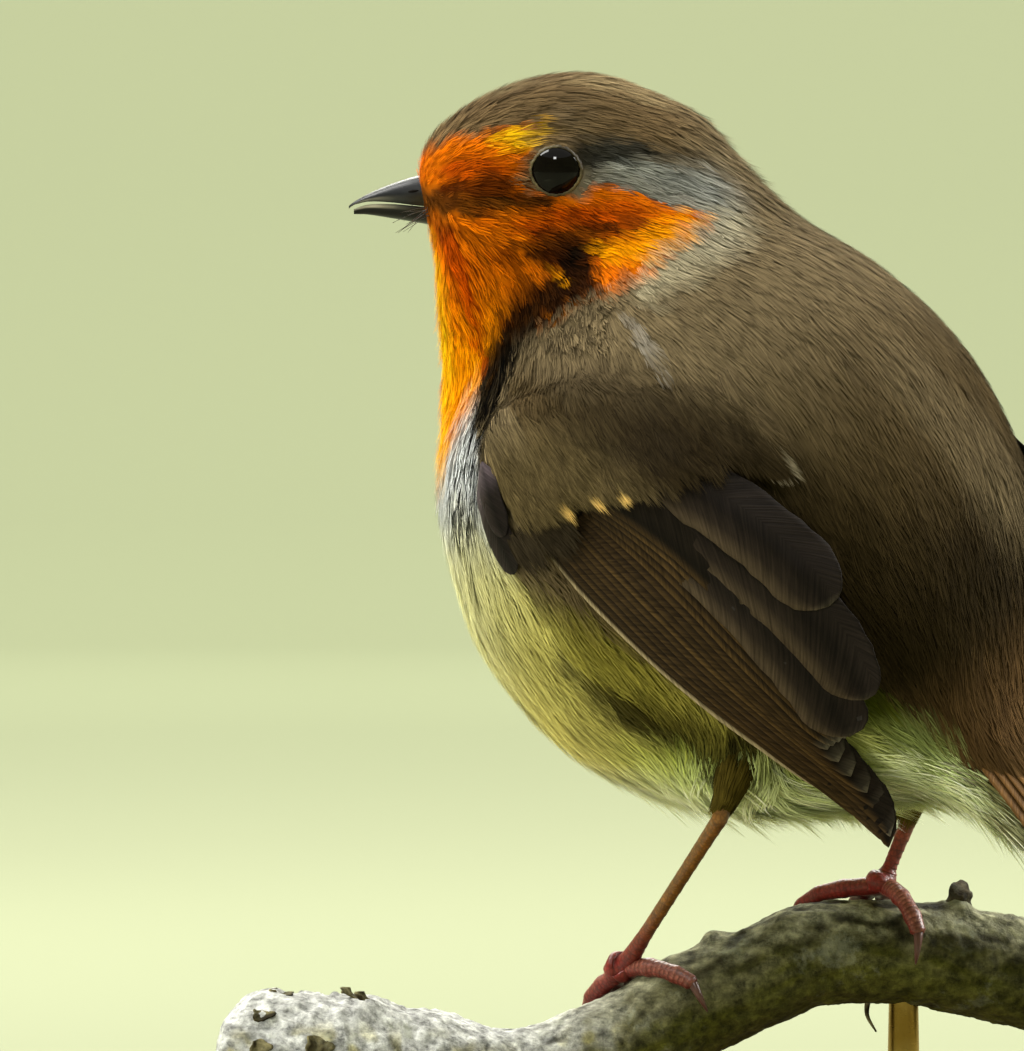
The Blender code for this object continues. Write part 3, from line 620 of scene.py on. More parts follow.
def coatDepth(points):
    # how far the skin lies under the solids
    q, _, z = headFrame(points)
    depth = skinPlan["bodyDepth"] + 0.35 * smoothStep(-12, -30, z)
    depth = mix(depth, skinPlan["faceDepth"], smoothStep(12, 20, z) * smoothStep(4, -6, q))
    for side in ("left", "right"):
        along, across = wingPlace(side, points)
        near = insideBy(along, across, wingPlan["outline"]) > -1.5
        onWing = near & ((points[:, 1] < 0) == (side == "left"))
        depth = np.where(onWing & (along < 16), skinPlan["wingDepth"], depth)
    return depth


def makeSkin():
    copies = [bpy.data.objects.new("part", cadNodes[name].data.copy()) for name in flesh]
    for copied in copies:
        scene.collection.objects.link(copied)
    skin = joinPieces(copies, "skin")
    editMode(True, "SELECT")
    bpy.ops.mesh.remove_doubles(threshold=0.000005)
    bpy.ops.transform.shrink_fatten(value=skinPlan["puff"])
    editMode(False)
    bake(skin, "REMESH", mode="VOXEL", voxel_size=skinPlan["voxel"])
    bake(skin, "SMOOTH", factor=0.5, iterations=26)
    points, normals = (np.empty(len(skin.data.vertices) * 3, np.float32) for _ in range(2))
    skin.data.vertices.foreach_get("co", points)
    skin.data.vertices.foreach_get("normal", normals)
    points, normals = points.reshape(-1, 3) / mm, normals.reshape(-1, 3)
    points = points - normals * (coatDepth(points)[:, None] + 0.1)
    skin.data.vertices.foreach_set("co", (points * mm).ravel())
    skin.data.update()
    bake(skin, "SMOOTH", factor=0.5, iterations=3)
    pick(skin)
    bpy.ops.object.shade_smooth()
    return skin


skin = makeSkin()
print("skin", len(skin.data.polygons), "faces")


def treeOf(points, triangles):
    return BVHTree.FromPolygons([Vector(p) for p in points], [tuple(t) for t in triangles])


def surfaceOf(obj):
    mesh = obj.data
    mesh.calc_loop_triangles()
    points = np.empty(len(mesh.vertices) * 3, np.float32)
    mesh.vertices.foreach_get("co", points)
    points = points.reshape(-1, 3) / mm
    triangles = np.empty(len(mesh.loop_triangles) * 3, np.int32)
    mesh.loop_triangles.foreach_get("vertices", triangles)
    triangles = triangles.reshape(-1, 3)
    return points.astype(float), triangles


skinPoints, skinTriangles = surfaceOf(skin)
skinTree = treeOf(skinPoints, skinTriangles)


eyePlan = {
    "behind": -9.2, "height": 34.2, "radius": 3.5, "rim": 2.2, "opening": 2.72,
    # round the socket: distance from the eye's middle, and how far it has risen to the head's surface
    "socket": ((2.62, 0.1), (2.72, 0.0), (2.95, 0.12), (3.3, 0.36), (3.7, 0.66), (4.1, 0.9), (4.6, 1.1)),
    # the lid's rolled rim: distance and height
    "lid": ((2.46, 2.45), (2.50, 2.53), (2.56, 2.57), (2.66, 2.54), (2.75, 2.42), (2.85, 2.15), (3.0, 1.6),
            (3.3, 0.9)),
}


def cadMiddle(name):
    low, high = (np.array(v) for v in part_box(name))
    return (low + high) / 2 / mm


def eyeWays(side):
    # the eye's middle, and the ways out of the head, forward and up there
    c, s = math.cos(headTurn), math.sin(headTurn)
    out = np.array((s, -c, 0.0)) if side == "left" else np.array((-s, c, 0.0))
    return cadMiddle("eye_" + side), out, np.array((-c, -s, 0.0)), np.array((0.0, 0.0, 1.0))


def closeSockets():
    # over each socket the skin rises from the head to the lid's rim
    pieces = [skin]
    for side in ("left", "right"):
        middle, out, forward, up = eyeWays(side)
        columns = []
        for turn in turns(72):
            way = forward * math.cos(turn) + up * math.sin(turn)
            hit = skinTree.ray_cast(Vector(middle + way * 4.4 + out * 9), Vector(-out))[0]
            high = float(np.dot(np.array(hit) - middle, out))
            columns.append([middle + way * radius + out * (eyePlan["rim"] + (high - eyePlan["rim"]) * share)
                            for radius, share in eyePlan["socket"]])
        rings = np.array(columns).transpose(1, 0, 2)
        points, faces = rings.reshape(-1, 3), loftTriangles(len(rings), 72)
        a, b, c = points[list(faces[0])]
        if np.dot(np.cross(b - a, c - a), out) < 0:
            faces = [f[::-1] for f in faces]
        pieces.append(meshFrom("part", points, faces))
    joinPieces(pieces, "skin")


closeSockets()
skinPoints, skinTriangles = surfaceOf(skin)
skinTree = treeOf(skinPoints, skinTriangles)


def unwrapPlaces(points):
    # the skin unrolled: once round the body's long axis, and once along it
    x, y, z = points.T
    along = np.clip((x * 0.55 - (z - trunk) * 0.8 + 55) / 125, 0.0, 1.0)
    centreX = 5.0 - 22.0 * smoothStep(0, 40, z - trunk)
    around = np.arctan2(y, centreX - x + 0.8 * (trunk - 10 - z)) / (2 * math.pi) + 0.5
    return np.stack([0.01 + 0.97 * around, 0.01 + 0.97 * along], axis=1)


# ---------- lie of the coat

lieInHead = (  # place: behind, right, height; way: behind, right, up. Mirrored to the left side too.
    ((-24, 0, 35), (0.5, 0.0, 0.85)), ((-21, 0, 40), (0.75, 0, 0.6)), ((-12, 0, 44.5), (1, 0, 0.15)),
    ((0, 0, 43.5), (0.95, 0, -0.3)), ((7, 0, 38), (0.75, 0, -0.65)), ((-19, 7, 35), (0.95, 0.1, 0.15)),
    ((-14, 10, 38), (1, 0, 0.1)), ((-15, 10, 31), (0.95, 0.1, -0.2)), ((-4, 12, 34), (1, 0, -0.2)),
    ((-6, 12, 27), (0.9, 0, -0.4)), ((3, 11, 28), (0.9, 0, -0.45)), ((-23, 0, 27), (0.15, 0, -1)),
    ((-22, 5, 24), (0.25, 0, -0.97)), ((-22, 0, 14), (0.02, 0, -1)), ((-16, 9, 20), (0.45, 0, -0.9)),
)
lieInBody = (
    ((2, 10, 26), (0.75, 0.15, -0.6)), ((8, 0, 29), (0.85, 0, -0.55)), ((16, 15, 20), (0.72, 0.05, -0.7)),
    ((24, 0, 19), (0.6, 0, -0.8)), ((33, 0, 6), (0.3, 0, -0.95)), ((37, 0, -7), (0.05, 0, -1)),
    ((27, 17, 0), (0.45, -0.1, -0.88)), ((36, 6, -20), (0.3, -0.15, -0.95)), ((41, 0, -31), (0.65, 0, -0.75)),
    ((-16, 17, 13), (0.45, 0.15, -0.88)), ((-31, 0, 3), (0.0, 0, -1)), ((-24, 17, 0), (0.25, 0.1, -0.96)),
    ((-29, 0, -14), (0.35, 0, -0.93)), ((-12, 24, -8), (0.55, 0.0, -0.83)), ((-18, 10, -25), (0.7, 0, -0.7)),
    ((0, 22, -22), (0.72, -0.05, -0.7)), ((2, 0, -35), (1, 0, -0.1)), ((20, 10, -32), (0.95, -0.1, -0.15)),
    ((26, 0, -34), (0.95, 0, 0.05)), ((40, 0, -36), (0.75, 0, -0.6)), ((-6, 24, 8), (0.5, 0.1, -0.85)),
    ((18, 21, -12), (0.7, -0.15, -0.7)), ((-9, 15, 17), (0.6, 0.15, -0.75)), ((-4, 15, 21), (0.7, 0.1, -0.7)),
)
lieOnLegs = (((10.6, -16.0, -30.5), (-0.3, 0.0, -0.95)), ((9.6, -16.1, -33.5), (-0.35, 0.0, -0.93)),
             ((17.8, 11.9, -31.5), (-0.15, 0.0, -0.98)), ((17.2, 11.6, -35.0), (-0.15, 0.0, -0.98)))


def lieAnchors():
    places, ways = [], []
    c, s = math.cos(headTurn), math.sin(headTurn)
    for (behind, right, height), (a, b, up) in lieInHead:
        for mirror in ((1, -1) if right else (1,)):
            places.append(fromHead(behind, right * mirror, height))
            ways.append((a * c - b * mirror * s, a * s + b * mirror * c, up))
    for (x, y, height), (a, b, up) in lieInBody:
        for mirror in ((1, -1) if y else (1,)):
            places.append((x, y * mirror, height + trunk))
            ways.append((a, b * mirror, up))
    for (x, y, height), way in lieOnLegs:
        places.append((x, y, height + trunk))
        ways.append(way)
    return np.array(places, dtype=float), unit(np.array(ways, dtype=float))


liePlaces, lieWays = lieAnchors()


def lieAt(points, normals):
    total = np.zeros_like(points)
    for place, way in zip(liePlaces, lieWays):
        away = np.linalg.norm(points - place, axis=1)
        total += way / (away[:, None] ** 3 + 20.0)
    total -= normals * np.sum(total * normals, axis=1, keepdims=True)
    return unit(total)


# ---------- tufts


def onSkin(points):
    found = [skinTree.find_nearest(Vector(p)) for p in points]
    return np.array([f[0] for f in found]), np.array([f[1] for f in found])


around = list(itertools.product((-1, 0, 1), repeat=3))  # a cell and its neighbours


def scatter(spacingAt, keepAt, seed):
    # evenly spread roots on the skin, spaced as spacingAt says
    dice = np.random.default_rng(seed)
    a, b, c = (skinPoints[skinTriangles[:, k]] for k in range(3))
    middle = (a + b + c) / 3
    area = np.linalg.norm(np.cross(b - a, c - a), axis=1) / 2
    wanted = keepAt(middle)
    weight = np.where(wanted, area / spacingAt(middle) ** 2, 0)
    count = int(weight.sum() * 3.2)
    chosen = dice.choice(len(area), size=count, p=weight / weight.sum())
    r1, r2 = np.sqrt(dice.random(count)), dice.random(count)
    points = (a[chosen] * (1 - r1)[:, None] + b[chosen] * (r1 * (1 - r2))[:, None]
              + c[chosen] * (r1 * r2)[:, None])
    spacing = spacingAt(points)
    cell = float(spacing.max())
    grid, kept = {}, []
    for i, (p, gap) in enumerate(zip(points.tolist(), spacing.tolist())):
        key = tuple(int(v // cell) for v in p)
        near = (other for step in around
                for other in grid.get((key[0] + step[0], key[1] + step[1], key[2] + step[2]), ()))
        if all(math.dist(p, other) >= gap for other in near):
            grid.setdefault(key, []).append(p)
            kept.append(i)
    return points[kept]


def tuftTemplate(strands, spread, clump, fine, seed):
    # one tuft in its own terms: along 0 to 1, across -1 to 1, lift 0 to 1, and each strand's tint
    dice = np.random.default_rng(seed)
    groups = max(2, strands // 4)
    points, tints, faces = [], [], []
    for n in range(strands):
        place = (n + 0.5) / strands * 2 - 1 + dice.uniform(-0.5, 0.5) / strands
        gather = (math.floor((place + 1) / 2 * groups * 0.999) + 0.5) / groups * 2 - 1
        reach = 1.0 - 0.34 * abs(place) ** 2.2 + dice.uniform(-0.16, 0.04)
        start = dice.uniform(0.0, 0.38)
        toward = (place + (gather - place) * clump) * spread + dice.normal(0, 0.05)
        bow = dice.normal(0, 0.06)
        height = dice.uniform(0.0, 1.0)
        thick = dice.uniform(0.75, 1.25) * fine
        tint = dice.normal(0, 1)
        first = len(points)
        for t, wide in ((0.0, 0.7), (0.4, 1.0), (0.75, 0.75), (1.0, 0.0)):
            along = start + (reach - start) * t
            across = place * 0.6 + (toward - place * 0.6) * t + bow * math.sin(math.pi * t)
            lift = height * (0.55 + 0.45 * t)
            for way in (-1, 1) if wide else (0,):
                points.append((along, across + way * wide * thick, lift))
                tints.append(tint)
        for k in (0, 2):
            faces += [(first + k, first + k + 1, first + k + 3), (first + k, first + k + 3, first + k + 2)]
        faces.append((first + 4, first + 5, first + 6))
    return np.array(points), np.array(tints), np.array(faces)


def skinPath(roots, length, turn, steps=4):
    # places, outward ways and lie ways at even steps along the lie from each root
    at, up = onSkin(roots)
    stations, ups, ways = [at], [up], []
    for _ in range(steps):
        way = lieAt(at, up)
        way = unit(way * np.cos(turn)[:, None] + np.cross(up, way) * np.sin(turn)[:, None])
        ways.append(way)
        at, found = onSkin(at + way * (length / steps)[:, None])
        up = unit(0.5 * up + 0.5 * found)
        stations.append(at)
        ups.append(up)
    return np.array(stations), np.array(ups), np.array(ways + [way])


def layTufts(name, path, near, far, style, seed, retint=None):
    dice = np.random.default_rng(seed)
    stations, ups, ways = path
    steps, count = len(stations) - 1, len(stations[0])
    sides = np.cross(ups, ways)
    streaky = streaked(stations[2])
    which = dice.integers(0, 6, count)
    made, offset = [], 0
    places = unwrapPlaces(stations[0])
    for v in range(6):
        mine = np.nonzero(which == v)[0]
        if len(mine) == 0:
            continue
        shape, tints, faces = tuftTemplate(style["strands"], style["spread"], style["clump"], style["fine"],
                                           seed * 10 + v)
        along = np.clip(shape[:, 0], 0, 1)
        step = np.minimum((along * steps).astype(int), steps - 1)
        share = (along * steps - step)[:, None, None]

        def carried(table):
            return (table[step][:, mine] * (1 - share) + table[step + 1][:, mine] * share).transpose(1, 0, 2)

        spine, lift, across = carried(stations), unit(carried(ups)), unit(carried(sides))
        rise = 0.05 + style["depth"][mine][:, None] * shape[None, :, 2] * (0.25 + 0.75 * along[None, :])
        rise = rise + style["raise"][mine][:, None] * along[None, :] ** 2.5 * (0.4 + 0.6 * shape[None, :, 2])
        sideways = style["half"][mine][:, None] * shape[None, :, 1]
        points = spine + across * sideways[..., None] + lift * rise[..., None]
        droop = style["droop"][mine][:, None] * along[None, :] ** 2
        points = points + np.array((0.2, 0.0, -1.0)) * droop[..., None]
        vary = dice.normal(0, 1, (len(mine), 1)) * style["tuftVary"]
        bright = 1 + vary + tints[None, :] * style["strandVary"]
        bright = bright + style["tipLight"] * (along[None, :] - 0.55)
        out = along[None, :, None]
        colour = near[mine][:, None] * (1 - out) + far[mine][:, None] * out
        pied = streaky[mine][:, None] * np.where(tints < 0.3, -0.95, 0.5)[None, :]
        colour = (colour * (np.clip(bright, 0.3, 2.2) * (1 + pied))[..., None]).reshape(-1, 3)
        points = points.reshape(-1, 3)
        if retint:
            colour = retint(points, colour)
        patch = np.stack([0.5 * np.clip(shape[:, 1], -1, 1), along - 0.5], axis=1) * 0.003
        made.append((points, colour, (places[mine][:, None, :] + patch[None]).reshape(-1, 2),
                     (faces[None] + (np.arange(len(mine)) * len(shape))[:, None, None]
                      + offset).reshape(-1, 3)))
        offset += len(points)
    points, colours, laid, faces = (np.concatenate(part) for part in zip(*made))
    obj = meshFrom(name, points, faces)
    paint(obj, np.clip(colours, 0, 1))
    layOut(obj, laid)
    return obj


def plumageMaterial():
    # Feather keratin: matt barbs whose fine ridges scatter light, so there is no gloss.
    made, tree, _ = newMaterial("soft contour feather", {"Roughness": 0.9, "Specular IOR Level": 0.03})
    return wire(made, addNode(tree, "VertexColor", {"layer_name": "coatColour"}))


featherCoat = plumageMaterial()


def onWing(points, margin):
    # true where the folded wing's flight feathers hide the body
    hidden = np.zeros(len(points), dtype=bool)
    for side in ("left", "right"):
        along, across = wingPlace(side, points)
        inner = insideBy(along, across, wingPlan["outline"])
        mine = (points[:, 1] < -6) if side == "left" else (points[:, 1] > 6)
        hidden |= (inner > margin + 3.0 * smoothStep(38, 46, along)) & (along > 14) & mine
    return hidden


def fromEye(q, z):
    return np.hypot(q - eyePlan["behind"], z - eyePlan["height"])


def nearEye(points):
    q, _, z = headFrame(points)
    return fromEye(q, z) < eyePlan["opening"]


def inBill(points):
    q, w, z = headFrame(points)
    return (q < -23.2) & (np.hypot((z - 31.2) / 2.4, w / 2.6) < 1)


def regionOf(points):
    # face, crown, breast, back, belly, rump: each a coat piece of its own
    q, _, z = headFrame(points)
    low = points[:, 2] - trunk
    x = points[:, 0]
    region = np.full(len(points), "back", dtype=object)
    region[(low < 2.0 - 0.62 * (x + 26) + 1.0) & (low < 2)] = "belly"
    region[(low < -2) & (x < -24)] = "belly"
    region[(low > -4) & (low < 17) & (x < np.interp(low, (-4, 17), (-20, -12)))] = "breast"
    region[(low < -24) & (x > 8)] = "vent"
    region[(low < 2) & (x > 14) & (low > -24 - 0.6 * (x - 26))] = "rump"
    region[z > 17 + 0.35 * (q + 10)] = "crown"
    region[(z > 15) & (q < -4)] = "face"
    region[(z > 37) & (q > -16)] = "crown"
    return region


# Each region's coat: lengths in millimetres, mess in radians, strands per tuft, depth over the skin, then
# how far the brightness of strands and tufts varies and the tips lighten, spread and clump of the strands, a
# strand's half width as a share of the tuft's, the number of pieces, and their slot.
coatColumns = ("spacing", "length", "half", "mess", "strands", "depth", "strandVary", "tuftVary", "tipLight",
               "spread", "clump", "fine", "pieces", "slot")
coats = {
    "face": (0.66, 2.7, 0.55, 0.16, 13, 0.6, 0.28, 0.20, 0.45, 0.95, 0.6, 0.085, 2, "face_feathers"),
    "crown": (0.85, 3.8, 0.75, 0.10, 15, 0.5, 0.22, 0.08, 0.20, 0.90, 0.3, 0.070, 2, "brown_feathers"),
    "breast": (0.85, 4.4, 0.80, 0.15, 15, 0.8, 0.20, 0.08, 0.30, 1.00, 0.5, 0.070, 2, "breast_feathers"),
    "back": (1.05, 5.4, 1.10, 0.08, 20, 0.5, 0.16, 0.06, 0.12, 0.90, 0.2, 0.055, 3, "brown_feathers"),
    "belly": (1.10, 6.6, 1.10, 0.17, 19, 0.9, 0.18, 0.08, 0.25, 1.10, 0.5, 0.055, 3, "pale_feathers"),
    "vent": (1.05, 7.4, 1.15, 0.17, 19, 1.0, 0.16, 0.08, 0.25, 1.10, 0.5, 0.055, 2, "pale_feathers"),
    "fringe": (1.45, 8.6, 0.90, 0.28, 10, 1.2, 0.20, 0.12, 1.10, 0.80, 0.8, 0.065, 1, "pale_feathers"),
    "rump": (1.10, 6.2, 1.15, 0.10, 19, 0.6, 0.18, 0.08, 0.15, 0.95, 0.3, 0.055, 1, "brown_feathers"),
}
coats = {region: dict(zip(coatColumns, row)) for region, row in coats.items()}


def growsAt(region):
    # which places on the skin carry that region's tufts
    def keep(p):
        if region == "fringe":
            here = (p[:, 2] - trunk < -29) & (p[:, 0] > -16) & (p[:, 0] < 34) & (regionOf(p) != "rump")
        else:
            here = regionOf(p) == region
        return here & ~onWing(p, 1.2) & ~nearEye(p) & ~inBill(p)

    return keep


def evenStyle(plan, count):
    # every tuft of one size, and none of them raised or hanging
    return {**plan, "half": np.full(count, plan["half"]), "depth": np.full(count, plan["depth"]),
            "droop": np.zeros(count), "raise": np.zeros(count)}


def regionStyle(region, roots, number):
    # shorter tufts at the bill, the lids and the legs, hanging ones under the belly, ruffled ones at the nape
    style = evenStyle(coats[region], len(roots))
    length = np.full(len(roots), coats[region]["length"])
    low = roots[:, 2] - trunk
    q, _, z = headFrame(roots)
    random = np.random.default_rng(7 + number).uniform(0, 1, len(roots))
    if region in ("belly", "vent"):
        under = smoothStep(-26, -34, low) * smoothStep(40, 34, roots[:, 0])
        style["droop"] = 2.4 * under * random ** 2
        length = length * (1 + 0.35 * under * random)
        cuff = np.maximum(smoothStep(5.0, 2.6, np.hypot(roots[:, 0] - 10.5, roots[:, 1] + 16.0)),
                          smoothStep(4.6, 2.6, np.hypot(roots[:, 0] - 17.6, roots[:, 1] - 11.8)))
        cuff = cuff * smoothStep(-25, -28, low)
        length, style["half"] = length * (1 - 0.25 * cuff), style["half"] * (1 - 0.3 * cuff)
    if region == "fringe":
        style["droop"] = 0.5 + 2.8 * random * smoothStep(-28, -34, low)
    if region in ("crown", "back"):
        scruff = smoothStep(2, 6, q) * smoothStep(30, 35, z)
        style["raise"] = 1.4 * scruff * random
        length = length * (1 + 0.25 * scruff)
    if region in ("face", "breast"):
        style["raise"] = 0.5 * (smoothStep(26, 20, z) * smoothStep(-4, 4, z)) * random
    if region == "face":
        nearBill = smoothStep(7, 1.5, np.hypot(q + 24.5, z - 31.5))
        length, style["half"] = length * (1 - 0.45 * nearBill), style["half"] * (1 - 0.35 * nearBill)
    if region in ("face", "crown"):
        nearLid = smoothStep(4.6, 3.0, fromEye(q, z))
        length, style["half"] = length * (1 - 0.55 * nearLid), style["half"] * (1 - 0.45 * nearLid)
        style["depth"] = style["depth"] * (1 - 0.35 * nearLid)
    return style, length


def growCoat():
    total = 0
    for number, (region, coat) in enumerate(coats.items()):
        roots = scatter(lambda p: np.full(len(p), coat["spacing"]), growsAt(region), 100 + number)
        style, length = regionStyle(region, roots, number)
        order = np.argsort(roots[:, 1] * 0.3 + roots[:, 0])
        for k, part in enumerate(np.array_split(order, coat["pieces"])):
            seed = 11 + 7 * number + k
            dice = np.random.default_rng(seed)
            reach, broad = dice.uniform(0.85, 1.15, (2, len(part)))
            path = skinPath(roots[part], length[part] * reach, dice.normal(0, 1, len(part)) * coat["mess"])
            mine = {**style, **{key: style[key][part] for key in ("half", "depth", "droop", "raise")}}
            mine["half"] = mine["half"] * broad
            tips = markingsAndShading(path[0][4])
            # the lowest fringe's tips are painted near white, partly for light shining through them
            if region == "fringe":
                tips = blend(tips, plumage["fringe"], np.full(len(part), 0.8))
            piece = layTufts(f"feathers_{region}_{k + 1}", path, markingsAndShading(path[0][1]), tips, mine, seed)
            finishPiece(piece, featherCoat, coat["slot"])
            total += len(piece.data.polygons)
        print("coat", region, len(roots), "tufts")
    print("coat triangles", total)


growCoat()


# ---------- vanes: the single feathers of the wings and tail


def featherCurve(root, middle, tip, rows):
    # plan points down the shaft, and the way across it at each
    share = 1 - (1 - np.linspace(0, 1, rows)) ** 1.5
    t = share[:, None]
    root, middle, tip = (np.array(p, dtype=float) for p in (root, middle, tip))
    control = 2 * middle - (root + tip) / 2
    spine = (1 - t) ** 2 * root + 2 * t * (1 - t) * control + t ** 2 * tip
    way = 2 * (1 - t) * (control - root) + 2 * t * (tip - control)
    way /= np.linalg.norm(way, axis=1, keepdims=True)
    return share, spine, np.stack([-way[:, 1], way[:, 0]], axis=1)


vaneRings, vaneAcross = 20, np.array((-1.0, -0.84, -0.5, -0.1, 0.06, 0.4, 0.86, 1.0))


def vaneFaces():
    # an upper and a lower sheet, and the rim between them
    rings, wide = vaneRings, len(vaneAcross)
    count = rings * wide
    upper = np.array([(r * wide + c, r * wide + c + 1, (r + 1) * wide + c + 1, (r + 1) * wide + c)
                      for r in range(rings - 1) for c in range(wide - 1)])
    loop = list(range(wide)) + [(r + 1) * wide - 1 for r in range(1, rings)]
    loop += [(rings - 1) * wide + c for c in range(wide - 2, -1, -1)]
    loop += [r * wide for r in range(rings - 2, 0, -1)]
    rim = np.array([(b, a, a + count, b + count) for a, b in zip(loop, loop[1:] + loop[:1])])
    quads = np.concatenate([upper, upper[:, ::-1] + count, rim])
    sheets = np.arange(len(quads)) < 2 * len(upper)
    return np.concatenate([quads[:, (0, 1, 2)], quads[:, (0, 2, 3)]]), np.tile(sheets, 2)


def vaneTint(feather, share, length):
    # dark inner web, browner outer web, a pale fringe, and a paler tip
    down = share[:, None, None]
    tint = np.broadcast_to(linear(feather["main"]), (vaneRings, len(vaneAcross), 3))
    tint = mix(tint, linear(feather["web"]), np.clip(-vaneAcross * 1.6, 0, 1)[:, None])
    edge = (vaneAcross < -0.8)[:, None] * (0.35 + 0.65 * smoothStep(0.05, 0.3, down))
    tint = mix(tint, linear(feather["fringe"]), edge * feather.get("edging", 0.8))
    tip = smoothStep(1 - feather.get("tipSpan", 0.6) / length, 1.0, down) * feather.get("tipping", 0.5)
    tint = mix(tint, linear(feather.get("tipColour", feather["fringe"])), tip)
    # a painted highlight over the root half, where the feather asks for one
    if "rootHighlight" in feather:
        tint = mix(tint, linear(feather["rootHighlight"]), 0.8 * smoothStep(0.5, 0.1, down))
    shaft = np.abs(vaneAcross + 0.02) < 0.09
    return (tint * (1 - 0.35 * shaft)[:, None]).reshape(-1, 3)


def buildVanes(name, rows, sheet, cells, dice):
    # rows: one dictionary per feather. sheet turns plan places and heights into points in the world.
    points, colours, vaneMap, bakeMap = [], [], [], []
    for index, feather in enumerate(rows):
        share, spine, across = featherCurve(feather["root"], feather["middle"], feather["tip"], vaneRings)
        length = np.linalg.norm(np.diff(spine, axis=0), axis=1).sum()
        whole = feather["outer"] + feather["inner"]
        blunt = min(0.6, feather.get("blunt", 1.15) * whole / 2 / length)
        neck = feather.get("neck", 0.6)
        tip = np.clip((share - (1 - blunt)) / blunt, 0, 1)
        width = neck + (1 - neck) * smoothStep(-0.05, 0.25, share)
        width = width * np.maximum(1 - tip ** feather.get("round", 2.3), 0.0) ** 0.5
        width[-1] = 0.03
        x = np.where(vaneAcross < 0, feather["outer"], feather["inner"]) * vaneAcross * width[:, None]
        x = x * (1 + dice.uniform(-0.05, 0.05, x.shape) * (np.abs(vaneAcross) > 0.8) * 0.8)
        plan = (spine[:, None, :] + across[:, None, :] * x[..., None]).reshape(-1, 2).T
        down = np.broadcast_to(share[:, None], x.shape)
        buried = feather.get("buried", 0.0) * (1 - smoothStep(0.0, 0.62, down))
        rise = feather["lift"] - buried - 0.035 * (x / 2.0) ** 2
        shaft = 0.05 * (np.abs(vaneAcross) < 0.2) * (1 - down * 0.7)
        points += [sheet(*plan, (rise + 0.025 + shaft).ravel()), sheet(*plan, (rise - 0.025).ravel())]
        tint = vaneTint(feather, share, length) * (1 + dice.normal(0, 0.05))
        colours += [tint, tint * 0.9 + 0.01]
        flat = np.stack([x, down * length], axis=2).reshape(-1, 2)
        vaneMap += [flat + (37.0 * index + shift, 0.0) for shift in (0.0, 17.0)]
        cell = np.array((index % cells, index // cells)) / cells
        inCell = np.stack([(0.5 + x / whole * 0.4) * 0.46, 0.03 + 0.94 * down], axis=2).reshape(-1, 2) / cells
        bakeMap += [cell + inCell, cell + inCell + (0.5 / cells, 0.0)]
    faces, sheets = vaneFaces()
    firsts = np.arange(len(rows))[:, None, None] * 2 * vaneRings * len(vaneAcross)
    faces = (faces[None] + firsts).reshape(-1, 3)
    obj = meshFrom(name, np.concatenate(points), faces[:, ::-1] if sheet.flipped else faces)
    # a crisp rim, so that a vane reads as a thin sheet
    obj.data.polygons.foreach_set("use_smooth", np.tile(sheets, len(rows)))
    paint(obj, np.clip(np.concatenate(colours), 0, 1))
    layOut(obj, np.concatenate(bakeMap))
    layOut(obj, np.concatenate(vaneMap) * 0.1, "vane")
    obj.data.uv_layers.active_index = 0
    return obj


def vaneMaterial():
    # Vane keratin: flat barbs zipped together, so it has a low silky gloss and fine slanting streaks.
    # Real barbs stand 0.03 mm apart. They are drawn about 0.2 mm apart, so that they show.
    made, tree, _ = newMaterial("zipped flight feather", {"Roughness": 0.6, "Specular IOR Level": 0.08})
    parts = addNode(tree, "SeparateXYZ", {0: addNode(tree, "UVMap", {"uv_map": "vane"})})
    lane = addMath(tree, "PINGPONG", parts.outputs["X"], 0.9)
    slant = addMath(tree, "MULTIPLY_ADD", lane, -1.3, parts.outputs["Y"])
    barbs = addStretch(tree, addNode(tree, "CombineXYZ", {0: slant, 1: lane}), (24.0, 2.2, 1.0))
    streaks = addNoise(tree, barbs, 1.0, 3.0, 0.6)
    colour = addNode(tree, "VertexColor", {"layer_name": "coatColour"})
    return wire(made, addScaled(tree, colour, addSpan(tree, streaks, 0.3, 0.7, 0.5, 1.5)), streaks, 0.5,
                0.0002)


flightVane = vaneMaterial()

wingFeathers = {
    # tips of the primaries from the leading edge inwards, then of the secondaries: along, across
    "remigeTips": ((52.5, 1.3), (56.5, 1.3), (59.3, 1.4), (60.4, 1.7), (59.4, 2.3), (56.6, 3.1), (54.2, 3.6),
                   (52.2, 4.1), (50.6, 4.7), (49.2, 5.2), (49.4, 6.0), (49.6, 6.8), (49.8, 7.6), (49.9, 8.4),
                   (49.9, 9.1)),
    "remigeLift": 0.08,
    "quill": {"outer": 1.05, "inner": 3.3, "main": "#16110c", "web": "#281d10", "fringe": "#49371d",
              "round": 2.0, "blunt": 1.5},
    "tertialColumns": ("root", "middle", "tip", "outer", "inner", "lift"),
    "tertials": (((17, 9.5), (35, 12.2), (50.1, 8.2), 3.3, 3.6, 1.4),
                 ((17.5, 12.5), (36, 16.2), (49.1, 12.9), 3.9, 3.8, 1.6),
                 ((18, 15.5), (29, 18.9), (40.4, 18.4), 3.6, 3.3, 1.8)),
    "tertial": {"main": "#1e1814", "web": "#271f18", "fringe": "#45392a", "buried": 0.7, "round": 2.4,
                "blunt": 1.3, "tipColour": "#4b4335", "tipping": 0.6, "tipSpan": 0.6},
    # the alula's two feathers: root, tip, half width
    "alulas": (((1.2, -1.6), (12.7, -5.9), 2.1), ((1.0, -0.8), (9.4, -3.5), 1.7)),
    # the alula's finish, with a painted purple-grey highlight over its root half
    "alula": {"main": "#17110f", "web": "#211a17", "fringe": "#2c2422", "rootHighlight": "#4b4045", "buried": 0.4,
              "edging": 0.4, "tipping": 0.1, "round": 2.2, "neck": 0.1, "blunt": 1.6},
}


